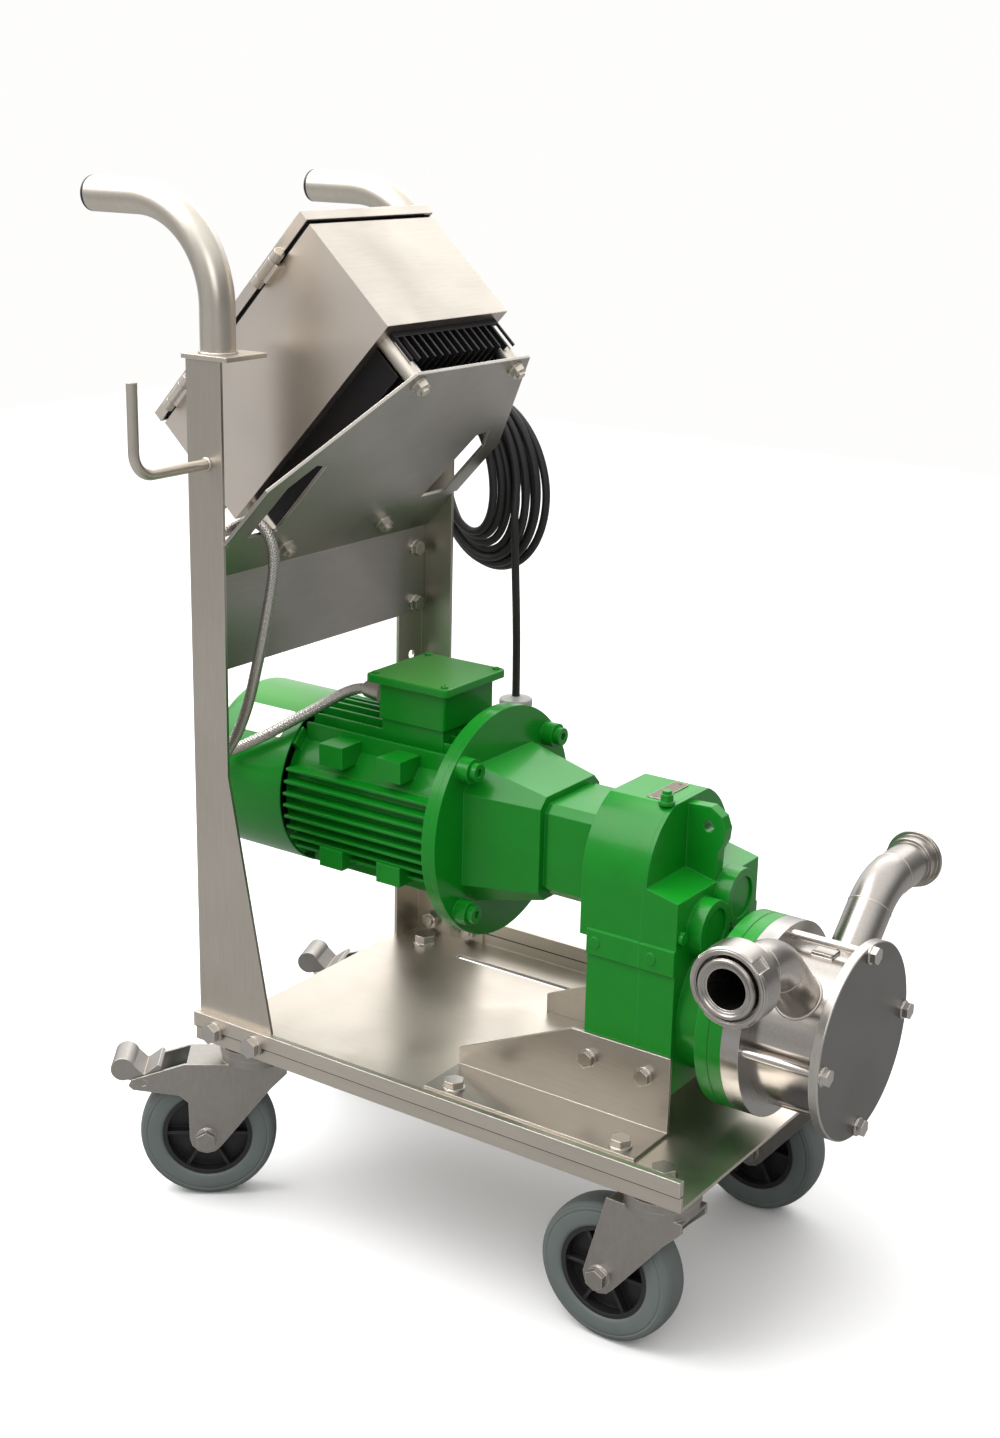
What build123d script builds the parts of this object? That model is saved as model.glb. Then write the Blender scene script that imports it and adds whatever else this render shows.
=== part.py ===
from build123d import *
from math import acos, atan2, cos, degrees, hypot, pi, radians, sin, tan
import os

# Mobile impeller pump: a stainless trolley on four castors that carries a geared electric
# motor, a flexible impeller pump in front of it and an inclined speed-control box behind.
# All lengths are millimetres. While it is built, X runs from the tray's rear edge towards
# the pump cover, Y = 0 is the trolley's centre line (minus Y is the near side) and Z = 0 is
# the floor. At the end everything is shifted along X so that the origin lies under the middle.

# Clearances
RUNNING = 0.05
SEAT_GAP = 0.3
BOLT_PLAY = 0.5

# Castors
WHEEL_DIAMETER = 125
WHEEL_WIDTH = 32
WHEEL_SHOULDER = 6
WHEEL_CENTRE_DIAMETER = 82
CASTOR_HEIGHT = 157
CASTOR_TRAIL = 44
CASTOR_RACE_RADIUS = 32
CASTOR_TOP_PLATE = 5
FORK_SHEET = 2.5
FORK_SIDE_GAP = 2.5
FORK_CROWN_Z = 137
AXLE_RADIUS = 5
KING_BOLT_RADIUS = 6
FRONT_CASTOR_X = 471
REAR_CASTOR_X = 38
CASTOR_Y = 130
NEAR_REAR_SWIVEL = 37
FAR_REAR_SWIVEL = 22

# Base tray, bent from one sheet, with a hem folded down outside each long flange
TRAY_LENGTH = 508
TRAY_WIDTH = 334
TRAY_SHEET = 3
TRAY_FLANGE = 28
TRAY_HEM = 14
TRAY_SLOT_START = 85
TRAY_SLOT_LENGTH = 138
TRAY_SLOT_WIDTH = 8
TRAY_SLOT_Y = 118

# Posts: L sections that flare forwards towards the foot
POST_SHEET = 3
POST_REAR_X = 3
POST_WEB = 38
POST_FLANGE = 40
POST_TOP_Z = 773
POST_FLARE_START_Z = 416
POST_FOOT_WEB = 84
POST_CAP = 50
POST_CAP_SHEET = 4
FOOT_BOLT_X = (24, 71)
FOOT_BOLT_HEIGHT = 14
POST_SPARE_HOLE_Z = 455
POST_SPARE_HOLE_RADIUS = 4.5

# Handles
HANDLE_RADIUS = 15
HANDLE_WALL = 1.5
HANDLE_X = 22
HANDLE_Y = 145
HANDLE_BEND = 85
HANDLE_Z = 899
HANDLE_END_X = -114
HANDLE_CAP_LENGTH = 4

# Cable hooks
HOOK_RADIUS = 4.5
HOOK_X = 24
HOOK_Z = 687
HOOK_REACH = 84
HOOK_RISE = 76
HOOK_BEND = 20

# Bracket sheet: a skirt between the posts, bent forwards and up
SHEET = 3
SKIRT_LOW_Z = 499
SKIRT_BEND_Z = 583
INCLINE_DEGREES = 47
SHEET_LENGTH = 252
SHEET_WING_START = 51
SHEET_WING_END = 121
SHEET_WING_HALF = 165
SHEET_TOP_HALF = 81
WINDOW_BAND = 25
WINDOW_START = 56
WINDOW_INNER_HALF = 103
WINDOW_TOP = 147
SKIRT_BOLT_Z = (563, 508)
SKIRT_BOLT_Y = 145

# Speed-control box, in the inclined frame of the bracket sheet
BOX_START = 12
BOX_LENGTH = 248
BOX_HALF_WIDTH = 85
BOX_LOW = 46
BOX_DEPTH = 112
BOX_SHEET = 2
LID_GAP = 3.5
LID_DEPTH = 10
LID_PROUD = 1.5
GASKET_WIDTH = 8
SINK_LENGTH = 232
SINK_HALF_WIDTH = 74
SINK_HEIGHT = 30
SINK_BASE = 6
SINK_FINS = 15
SINK_FIN = 2
STANDOFF_RADIUS = 8
STANDOFF_Y = 69.5
STANDOFF_STARTS = (28, 240)
STUD_RADIUS = 4
LID_HINGES = (50, 205)
LID_HINGE_RADIUS = 5
LID_HINGE_PIN = 2

# Motor
MOTOR_Z = 370
MOTOR_FLANGE_X = 214
MOTOR_FLANGE_RADIUS = 104
MOTOR_FLANGE_THICKNESS = 8
MOTOR_BODY_REAR_X = 24
MOTOR_BODY_RADIUS = 67
MOTOR_FIN_RADIUS = 79
MOTOR_BORE = 60
FIN_THICKNESS = 2.6
SIDE_FINS = 8
SIDE_FIN_PITCH = 11
BOTTOM_FINS = 7
COWL_RADIUS = 80
COWL_WALL = 1.5
COWL_REAR_X = -68
COWL_FRONT_X = 27
COWL_LUG = 6
MOTOR_SHAFT_RADIUS = 12
ROTOR_RADIUS = 42
ROTOR_GAP = 0.6
STACK_START_X = 66
STACK_LENGTH = 92
BEARING_RADIUS = 26
BEARING_WIDTH = 12
TERMINAL_X = 143
TERMINAL_LENGTH = 90
TERMINAL_WIDTH = 92
TERMINAL_TOP_Z = 494
TERMINAL_LID = 7
TERMINAL_OVERHANG = 8
TERMINAL_REAR_X = 107
TERMINAL_BOX_LOW_Z = 453
FOOT_PAD_X = (82, 147)

# Lantern between motor and gearbox
LANTERN_FLANGE = 6
LANTERN_BOLT_RADIUS = 92
LANTERN_BOSS_RADIUS = 11
LANTERN_BOSS = 12
TAPER_END_X = 289
TAPER_START_HALF = 63
TAPER_END_HALF = 47
TAPER_START_CHAMFER = 21
TAPER_END_CHAMFER = 9
NECK_HALF = 41
NECK_CHAMFER = 7
LANTERN_BORE = 33

# Gearbox: three stages of parallel shafts in a tall flat casing
GEARBOX_REAR_X = 346
GEARBOX_FLANGE = 8
GEARBOX_SPLIT_X = 404
GEARBOX_FRONT_X = 438
GEARBOX_HALF_WIDTH = 69
GEARBOX_LOW_Z = 195
GEARBOX_TOP = 63
GEARBOX_WALL = 6
LEDGE_X = 408
LEDGE_REAR_Z = 373
LEDGE_FRONT_Z = 366
BAND_LOW_Z = 303
BAND_HIGH_Z = 325
BAND_DEPTH = 2.2
LUG_THICKNESS = 11
LUG_HOLE_RADIUS = 5
GEAR_A_BEARING = -53.5
CAP_BOSS_LENGTH = 14
CAP_BOSS_RADIUS = 25
CAP_RADIUS = 18
CAP_THICKNESS = 3

# Gear train: module, teeth of the driver and of the driven wheel, and the wheel's place
STAGE_ONE = (1.5, 12, 22)
STAGE_TWO = (2.0, 15, 31)
STAGE_THREE = (2.5, 20, 44)
STAGE_ONE_X = 366
STAGE_TWO_X = 377
STAGE_THREE_X = 389
GEAR_WIDTH = 8.5
FINAL_GEAR_WIDTH = 12
TOOTH_SHARE = 0.44
ROOT_DEPTH = 1.25
LAYSHAFT_RADIUS = 6

# Pump
PUMP_FLANGE_RADIUS = 83.5
OUTPUT_NECK_RADIUS = 62
OUTPUT_FLANGE_X = 467
OUTPUT_FLANGE_LENGTH = 24
BACK_RING = 16
BARREL_LENGTH = 62
BARREL_RADIUS = 67
BARREL_WALL = 5
COVER_THICKNESS = 8
STUD_CIRCLE = 76.5
COVER_STUD_RADIUS = 4
PUMP_SHAFT_RADIUS = 11
SEAL_RADIUS = 20
CAM_DEPTH = 9
CAM_HALF_ANGLE = 24
IMPELLER_HUB = 17
IMPELLER_TIP = 50
IMPELLER_VANES = 8
VANE_THICKNESS = 5
VANE_BULB = 4.5
ORING_RADIUS = 64.2
ORING_SECTION = 1.3

# Ports
PIPE_RADIUS = 19.05
PIPE_BORE = 17.4
PORT_ANGLE = 45
PORT_RISE = 97.5
PORT_BEND = 57
PORT_REACH = 171
LINER_RADIUS = 24
LINER_LENGTH = 11
LINER_BORE = 16.4
UNION_RADIUS = 32.5
UNION_THREAD = 26.5
UNION_LENGTH = 24
UNION_LIP = 6
UNION_SLOTS = 4
FERRULE_RADIUS = 25.25
FERRULE_RIM = 3
FERRULE_NECK_RADIUS = 22
FERRULE_NECK = 12

# Hex fasteners
M8_HEX = 13
M8_HEAD = 5.5
M10_RADIUS = 5
M10_HEX = 16
M10_HEAD = 6.5
M12_HEX = 19
M12_HEAD = 7.5
WASHER = 1.6

# Cords
HOSE_RADIUS = 5
LEAD_RADIUS = 4
PLUG_RADIUS = 18

# Values that follow from the sizes above
PLATE_TOP_Z = CASTOR_HEIGHT + TRAY_SHEET
TRAY_HALF = TRAY_WIDTH / 2
POST_OUTER_Y = TRAY_HALF - TRAY_SHEET
POST_INNER_Y = POST_OUTER_Y - POST_SHEET
SKIRT_X = POST_REAR_X + POST_SHEET
STAGE_ONE_CENTRES = STAGE_ONE[0] * (STAGE_ONE[1] + STAGE_ONE[2]) / 2
STAGE_TWO_CENTRES = STAGE_TWO[0] * (STAGE_TWO[1] + STAGE_TWO[2]) / 2
STAGE_THREE_CENTRES = STAGE_THREE[0] * (STAGE_THREE[1] + STAGE_THREE[2]) / 2
PUMP_Z = 260
RING_X = OUTPUT_FLANGE_X + OUTPUT_FLANGE_LENGTH
BARREL_X = RING_X + BACK_RING
COVER_X = BARREL_X + BARREL_LENGTH
COVER_FACE_X = COVER_X + COVER_THICKNESS
PORT_X = BARREL_X + BARREL_LENGTH / 2
PORT_Z = PUMP_Z + PORT_RISE
FRONT_MOST_X = COVER_FACE_X + WASHER + M8_HEAD
REAR_MOST_X = HANDLE_END_X - HANDLE_CAP_LENGTH
ORIGIN_X = (FRONT_MOST_X + REAR_MOST_X) / 2
TRAY_TOP_EDGE_Z = CASTOR_HEIGHT + TRAY_FLANGE
FOOT_BOLT_Z = CASTOR_HEIGHT + FOOT_BOLT_HEIGHT

INCLINE = Plane(
    origin=(SKIRT_X + SHEET, 0, SKIRT_BEND_Z),
    x_dir=(cos(radians(INCLINE_DEGREES)), 0, sin(radians(INCLINE_DEGREES))),
    z_dir=(-sin(radians(INCLINE_DEGREES)), 0, cos(radians(INCLINE_DEGREES))),
)


# Small helpers

def block(x0, x1, y0, y1, z0, z1):
    return Pos((x0 + x1) / 2, (y0 + y1) / 2, (z0 + z1) / 2) * Box(x1 - x0, y1 - y0, z1 - z0)


def rod_x(radius, x0, x1, y, z):
    return Pos((x0 + x1) / 2, y, z) * Rot(0, 90, 0) * Cylinder(radius, x1 - x0)


def rod_y(radius, y0, y1, x, z):
    return Pos(x, (y0 + y1) / 2, z) * Rot(90, 0, 0) * Cylinder(radius, abs(y1 - y0))


def rod_z(radius, z0, z1, x, y):
    return Pos(x, y, (z0 + z1) / 2) * Cylinder(radius, z1 - z0)


def ring_x(outer, inner, x0, x1, y, z):
    return rod_x(outer, x0, x1, y, z) - rod_x(inner, x0 - 1, x1 + 1, y, z)


def side_plate(points, y0, y1):
    """An outline in X and Z, as a plate from y0 to y1."""
    outline = Plane(origin=(0, y1, 0), x_dir=(1, 0, 0), z_dir=(0, -1, 0))
    return extrude(outline * make_face(Polyline(*points, close=True)), y1 - y0)


def cross_section(points, x0, x1):
    """An outline in Y and Z, extruded from x0 to x1."""
    return extrude(Plane.YZ.offset(x0) * make_face(Polyline(*points, close=True)), x1 - x0)


def sheet_plate(points, low, thickness):
    """An outline in the inclined frame, as a plate that starts at height low."""
    return extrude(INCLINE.offset(low) * make_face(Polyline(*points, close=True)), thickness)


def both_sides(shape):
    return [shape, mirror(shape, Plane.XZ)]


def group(shapes):
    """Separate solids that share one node."""
    solids = []
    for shape in shapes:
        solids.extend(shape.solids())
    return Compound(children=solids)


def weld(shapes):
    total = shapes[0]
    for shape in shapes[1:]:
        total = total + shape
    return total


def hex_bolt(plane, radius, across, head, length, washer=WASHER):
    """Head and washer on the outer side of a plane, shank going in along its minus Z."""
    parts = extrude(plane.offset(washer) * RegularPolygon(across / 2, 6, major_radius=False), head)
    parts += extrude(plane * Circle(across * 0.62), washer)
    parts += extrude(plane.offset(washer) * Circle(radius), -length - washer)
    return parts


def hex_nut(plane, radius, across, height):
    nut = extrude(plane * RegularPolygon(across / 2, 6, major_radius=False), height)
    return nut - extrude(plane.offset(-1) * Circle(radius + RUNNING), height + 2)


def facing(point, direction):
    return Plane(origin=point, z_dir=direction)


# Trolley

def tray():
    wall = TRAY_SHEET
    section = [
        (-TRAY_HALF, CASTOR_HEIGHT), (TRAY_HALF, CASTOR_HEIGHT),
        (TRAY_HALF, TRAY_TOP_EDGE_Z - TRAY_HEM), (TRAY_HALF + wall, TRAY_TOP_EDGE_Z - TRAY_HEM),
        (TRAY_HALF + wall, TRAY_TOP_EDGE_Z), (TRAY_HALF - wall, TRAY_TOP_EDGE_Z),
        (TRAY_HALF - wall, PLATE_TOP_Z), (-TRAY_HALF + wall, PLATE_TOP_Z),
        (-TRAY_HALF + wall, TRAY_TOP_EDGE_Z), (-TRAY_HALF - wall, TRAY_TOP_EDGE_Z),
        (-TRAY_HALF - wall, TRAY_TOP_EDGE_Z - TRAY_HEM), (-TRAY_HALF, TRAY_TOP_EDGE_Z - TRAY_HEM),
    ]
    plate = cross_section(section, 0, TRAY_LENGTH)
    slot_end = TRAY_SLOT_START + TRAY_SLOT_LENGTH
    slot = block(TRAY_SLOT_START, slot_end, TRAY_SLOT_Y, TRAY_SLOT_Y + TRAY_SLOT_WIDTH,
                 CASTOR_HEIGHT - 1, PLATE_TOP_Z + 1)
    holes = [slot]
    for x, y in castor_places():
        holes.append(rod_z(KING_BOLT_RADIUS + BOLT_PLAY, CASTOR_HEIGHT - 1, PLATE_TOP_Z + 1, x, y))
    for x in bracket_bolt_places():
        for y in (-BRACKET_FOOT_BOLT_Y, BRACKET_FOOT_BOLT_Y):
            holes.append(rod_z(M10_RADIUS + BOLT_PLAY, CASTOR_HEIGHT - 1, PLATE_TOP_Z + 1, x, y))
    for x in FOOT_BOLT_X:
        holes.append(rod_y(M10_RADIUS + BOLT_PLAY, -TRAY_WIDTH, TRAY_WIDTH, x, FOOT_BOLT_Z))
    return plate - holes


def castor_places():
    return [(FRONT_CASTOR_X, -CASTOR_Y), (REAR_CASTOR_X, -CASTOR_Y),
            (FRONT_CASTOR_X, CASTOR_Y), (REAR_CASTOR_X, CASTOR_Y)]


def posts():
    front = POST_REAR_X + POST_WEB
    foot = POST_REAR_X + POST_FOOT_WEB
    web = side_plate(
        [(POST_REAR_X, PLATE_TOP_Z), (foot, PLATE_TOP_Z), (foot, TRAY_TOP_EDGE_Z),
         (front, POST_FLARE_START_Z), (front, POST_TOP_Z), (POST_REAR_X, POST_TOP_Z)],
        -POST_OUTER_Y, -POST_INNER_Y)
    flange = block(POST_REAR_X, SKIRT_X, -POST_OUTER_Y, -POST_OUTER_Y + POST_FLANGE,
                   PLATE_TOP_Z, POST_TOP_Z)
    post = web + flange
    holes = [rod_x(POST_SPARE_HOLE_RADIUS, 0, SKIRT_X + 1, -SKIRT_BOLT_Y, POST_SPARE_HOLE_Z)]
    for z in SKIRT_BOLT_Z:
        holes.append(rod_x(M8_RADIUS + BOLT_PLAY, 0, SKIRT_X + 1, -SKIRT_BOLT_Y, z))
    for x in FOOT_BOLT_X:
        holes.append(rod_y(M10_RADIUS + BOLT_PLAY, -TRAY_HALF, -POST_INNER_Y + 1, x, FOOT_BOLT_Z))
    return group(both_sides(post - holes))


def handles():
    low = POST_TOP_Z
    cap = block(POST_REAR_X - 3, POST_REAR_X - 3 + POST_CAP, -POST_OUTER_Y - 2,
                -POST_OUTER_Y - 2 + POST_CAP, low, low + POST_CAP_SHEET)
    start = low + POST_CAP_SHEET
    path = FilletPolyline((HANDLE_X, -HANDLE_Y, start), (HANDLE_X, -HANDLE_Y, HANDLE_Z),
                          (HANDLE_END_X, -HANDLE_Y, HANDLE_Z), radius=HANDLE_BEND)
    profile = Plane(origin=(HANDLE_X, -HANDLE_Y, start), z_dir=(0, 0, 1))
    ring = Circle(HANDLE_RADIUS) - Circle(HANDLE_RADIUS - HANDLE_WALL)
    tube = sweep(profile * ring, path=path)
    return group(both_sides(cap + tube))


def handle_caps():
    plug_in = rod_x(HANDLE_RADIUS - HANDLE_WALL - RUNNING, HANDLE_END_X, HANDLE_END_X + 12,
                    -HANDLE_Y, HANDLE_Z)
    button = rod_x(HANDLE_RADIUS, REAR_MOST_X, HANDLE_END_X, -HANDLE_Y, HANDLE_Z)
    rounded = fillet(button.faces().sort_by(Axis.X)[0].edges(), HANDLE_CAP_LENGTH * 0.6)
    return group(both_sides(plug_in + rounded))


def hooks():
    path = FilletPolyline((HOOK_X, -POST_OUTER_Y, HOOK_Z), (HOOK_X, -POST_OUTER_Y - HOOK_REACH, HOOK_Z),
                          (HOOK_X, -POST_OUTER_Y - HOOK_REACH, HOOK_Z + HOOK_RISE), radius=HOOK_BEND)
    profile = Plane(origin=(HOOK_X, -POST_OUTER_Y, HOOK_Z), z_dir=(0, -1, 0))
    hook = sweep(profile * Circle(HOOK_RADIUS), path=path)
    return group(both_sides(hook))


def bracket_sheet():
    skirt_half = POST_INNER_Y - SEAT_GAP
    skirt = block(SKIRT_X, SKIRT_X + SHEET, -skirt_half, skirt_half, SKIRT_LOW_Z, SKIRT_BEND_Z)
    half_outline = [
        (0, skirt_half), (SHEET_WING_START, skirt_half), (SHEET_WING_START, SHEET_WING_HALF),
        (SHEET_WING_END, SHEET_WING_HALF), (SHEET_LENGTH, SHEET_TOP_HALF),
    ]
    outline = half_outline + [(x, -y) for x, y in reversed(half_outline)]
    incline = sheet_plate(outline, 0, SHEET)
    turn = radians(90 - INCLINE_DEGREES)
    outer_x = SKIRT_X + SHEET - SHEET * cos(turn)
    bend = side_plate(
        [(SKIRT_X, SKIRT_BEND_Z), (SKIRT_X + SHEET, SKIRT_BEND_Z),
         (outer_x, SKIRT_BEND_Z + SHEET * sin(turn)), (SKIRT_X, SKIRT_BEND_Z + SHEET * tan(turn / 2))],
        -skirt_half, skirt_half)
    outer = SHEET_WING_HALF - WINDOW_BAND
    slope = (SHEET_WING_HALF - SHEET_TOP_HALF) / (SHEET_LENGTH - SHEET_WING_END)
    top_outer = outer - slope * (WINDOW_TOP - SHEET_WING_END)
    window = [(WINDOW_START, WINDOW_INNER_HALF), (WINDOW_START, outer), (SHEET_WING_END, outer),
              (WINDOW_TOP, top_outer), (WINDOW_TOP - 4, WINDOW_INNER_HALF + 4)]
    near_window = [(x, -y) for x, y in window]
    cuts = [sheet_plate(window, -1, SHEET + 2), sheet_plate(near_window, -1, SHEET + 2)]
    for along, y in standoff_places():
        cuts.append(extrude(INCLINE.offset(-1) * Pos(along, y) * Circle(STUD_RADIUS + BOLT_PLAY), SHEET + 2))
    for z in SKIRT_BOLT_Z:
        for y in (-SKIRT_BOLT_Y, SKIRT_BOLT_Y):
            cuts.append(rod_x(M8_RADIUS + BOLT_PLAY, SKIRT_X - 1, SKIRT_X + SHEET + 1, y, z))
    return skirt + bend + incline - cuts


def standoff_places():
    return [(along, y) for along in STANDOFF_STARTS for y in (-STANDOFF_Y, STANDOFF_Y)]


# Gearbox brackets on the tray
BRACKET_SHEET = 3
BRACKET_REAR_X = 227
BRACKET_FRONT_X = 440
BRACKET_HEIGHT = 71
BRACKET_LOW_HEIGHT = 18
BRACKET_SLOPE_X = 343
BRACKET_FOOT = 53
BRACKET_FOOT_BOLT_Y = 113
BRACKET_SIDE_BOLT_HEIGHT = 49
BRACKET_SIDE_BOLTS_X = (361, 416)
M8_RADIUS = 4


def bracket_bolt_places():
    return (BRACKET_REAR_X + 24, BRACKET_FRONT_X - 20)


def gearbox_brackets():
    inner = GEARBOX_HALF_WIDTH
    outer = inner + BRACKET_SHEET
    low = PLATE_TOP_Z
    web = side_plate(
        [(BRACKET_REAR_X, low), (BRACKET_FRONT_X, low), (BRACKET_FRONT_X, low + BRACKET_HEIGHT),
         (BRACKET_SLOPE_X, low + BRACKET_HEIGHT), (BRACKET_REAR_X, low + BRACKET_LOW_HEIGHT)],
        -outer, -inner)
    foot = block(BRACKET_REAR_X, BRACKET_FRONT_X, -outer - BRACKET_FOOT, -inner,
                 low, low + BRACKET_SHEET)
    bracket = web + foot
    holes = []
    for x in bracket_bolt_places():
        holes.append(rod_z(M10_RADIUS + BOLT_PLAY, low - 1, low + BRACKET_SHEET + 1, x,
                           -BRACKET_FOOT_BOLT_Y))
    for x in BRACKET_SIDE_BOLTS_X:
        holes.append(rod_y(M8_RADIUS + BOLT_PLAY, -outer - 1, -inner + 1, x,
                           low + BRACKET_SIDE_BOLT_HEIGHT))
    return group(both_sides(bracket - holes))


def frame_bolts():
    """Foot bolts of the posts, bolts of the bracket feet and of the skirt, with nuts."""
    bolts = []
    grip = TRAY_SHEET * 2 + POST_SHEET
    hem_face = -TRAY_HALF - TRAY_SHEET
    for x in FOOT_BOLT_X:
        outside = facing((x, hem_face, FOOT_BOLT_Z), (0, -1, 0))
        inside = facing((x, -POST_INNER_Y, FOOT_BOLT_Z), (0, 1, 0))
        bolts.append(hex_bolt(outside, M10_RADIUS, M10_HEX, M10_HEAD, grip + M10_HEAD + 2))
        bolts.append(hex_nut(inside, M10_RADIUS, M10_HEX, M10_HEAD))
    for x in bracket_bolt_places():
        above = facing((x, -BRACKET_FOOT_BOLT_Y, PLATE_TOP_Z + BRACKET_SHEET), (0, 0, 1))
        below = facing((x, -BRACKET_FOOT_BOLT_Y, CASTOR_HEIGHT), (0, 0, -1))
        bolts.append(hex_bolt(above, M10_RADIUS, M10_HEX, M10_HEAD, TRAY_SHEET + BRACKET_SHEET + 8))
        bolts.append(hex_nut(below, M10_RADIUS, M10_HEX, M10_HEAD))
    for x in BRACKET_SIDE_BOLTS_X:
        side = facing((x, -GEARBOX_HALF_WIDTH - BRACKET_SHEET, PLATE_TOP_Z + BRACKET_SIDE_BOLT_HEIGHT),
                      (0, -1, 0))
        bolts.append(hex_bolt(side, M8_RADIUS, M8_HEX, M8_HEAD, BRACKET_SHEET + GEARBOX_WALL - 1))
    for z in SKIRT_BOLT_Z:
        front = facing((SKIRT_X + SHEET, -SKIRT_BOLT_Y, z), (1, 0, 0))
        rear = facing((POST_REAR_X, -SKIRT_BOLT_Y, z), (-1, 0, 0))
        bolts.append(hex_bolt(front, M8_RADIUS, M8_HEX, M8_HEAD, SHEET + POST_SHEET + M8_HEAD + 2))
        bolts.append(hex_nut(rear, M8_RADIUS, M8_HEX, M8_HEAD))
    solids = []
    for bolt in bolts:
        solids.extend(both_sides(bolt))
    return group(solids)


# Castors, built round their swivel axis and then turned and placed

def castor_frame(x, y, swivel):
    return Pos(x, y, 0) * Rot(0, 0, swivel)


def castor_head(x, y):
    """Fixed upper race with its king bolt through the tray."""
    top = rod_z(CASTOR_RACE_RADIUS - 4, CASTOR_HEIGHT - CASTOR_TOP_PLATE, CASTOR_HEIGHT, x, y)
    skirt_low = FORK_CROWN_Z + CASTOR_LOWER_RACE + SEAT_GAP
    race = rod_z(CASTOR_RACE_RADIUS, skirt_low, CASTOR_HEIGHT - CASTOR_TOP_PLATE, x, y)
    bolt_low = FORK_CROWN_Z - FORK_SHEET - M12_HEAD
    shank = rod_z(KING_BOLT_RADIUS, bolt_low, PLATE_TOP_Z + WASHER, x, y)
    washer = rod_z(CASTOR_WASHER_RADIUS, PLATE_TOP_Z, PLATE_TOP_Z + WASHER, x, y)
    head_plane = facing((x, y, PLATE_TOP_Z + WASHER), (0, 0, 1))
    head = extrude(head_plane * RegularPolygon(M12_HEX / 2, 6, major_radius=False), M12_HEAD)
    lock_nut = rod_z(M12_HEX / 2, bolt_low, FORK_CROWN_Z - FORK_SHEET - SEAT_GAP, x, y)
    return weld([top, race, shank, washer, head, lock_nut])


CASTOR_LOWER_RACE = 7
CASTOR_WASHER_RADIUS = 12


def fork_outline(braked):
    """Side plate outline in X and Z from the swivel axis; the wheel trails towards minus X."""
    axle_x = -CASTOR_TRAIL
    axle_z = WHEEL_DIAMETER / 2
    end = 15.5
    round_end = [(axle_x + end * cos(radians(a)), axle_z + end * sin(radians(a)))
                 for a in range(180, 331, 30)]
    front_edge = [(axle_x + 59, axle_z + 50), (axle_x + 74, FORK_CROWN_Z - 9), (axle_x + 74, FORK_CROWN_Z)]
    if braked:
        arm = [(axle_x - 19, FORK_CROWN_Z), (BRAKE_ARM_X + 3, BRAKE_ARM_Z + 5),
               (BRAKE_ARM_X, BRAKE_ARM_Z - 1), (BRAKE_ARM_X + 4, BRAKE_ARM_Z - 5),
               (axle_x - 24, axle_z + 43), (axle_x - 16, axle_z + 36)]
        return round_end + front_edge + arm
    return round_end + front_edge + [(axle_x + 4, FORK_CROWN_Z), (axle_x - 12, axle_z + 14)]


BRAKE_ARM_X = -CASTOR_TRAIL - 70
BRAKE_ARM_Z = WHEEL_DIAMETER / 2 + 54
PEDAL_PIVOT_X = BRAKE_ARM_X + 14
PEDAL_PIVOT_Z = BRAKE_ARM_Z + 2
PEDAL_PIN_RADIUS = 3
PEDAL_ROLL_RADIUS = 11


def castor_fork(braked):
    inner = WHEEL_WIDTH / 2 + FORK_SIDE_GAP
    outer = inner + FORK_SHEET
    outline = fork_outline(braked)
    near = side_plate(outline, -outer, -inner)
    far = side_plate(outline, inner, outer)
    front_x = -CASTOR_TRAIL + 74
    rear_x = -CASTOR_TRAIL - 17 if braked else -CASTOR_TRAIL + 6
    crown = block(rear_x, front_x, -inner, inner, FORK_CROWN_Z - FORK_SHEET, FORK_CROWN_Z)
    race = rod_z(CASTOR_RACE_RADIUS - 1, FORK_CROWN_Z, FORK_CROWN_Z + CASTOR_LOWER_RACE, 0, 0)
    body = near + far + crown + race
    body -= rod_z(KING_BOLT_RADIUS + RUNNING, 0, CASTOR_HEIGHT, 0, 0)
    body -= rod_y(AXLE_RADIUS, -outer - 1, outer + 1, -CASTOR_TRAIL, WHEEL_DIAMETER / 2)
    if braked:
        body -= rod_y(PEDAL_PIN_RADIUS + RUNNING, -outer - 1, outer + 1, PEDAL_PIVOT_X, PEDAL_PIVOT_Z)
    axle_plane = facing((-CASTOR_TRAIL, -outer, WHEEL_DIAMETER / 2), (0, -1, 0))
    nut_plane = facing((-CASTOR_TRAIL, outer, WHEEL_DIAMETER / 2), (0, 1, 0))
    axle = hex_bolt(axle_plane, AXLE_RADIUS, M10_HEX, M10_HEAD, 2 * outer + M10_HEAD + 2)
    nut = hex_nut(nut_plane, AXLE_RADIUS, M10_HEX, M10_HEAD)
    return group([body, axle, nut])


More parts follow.
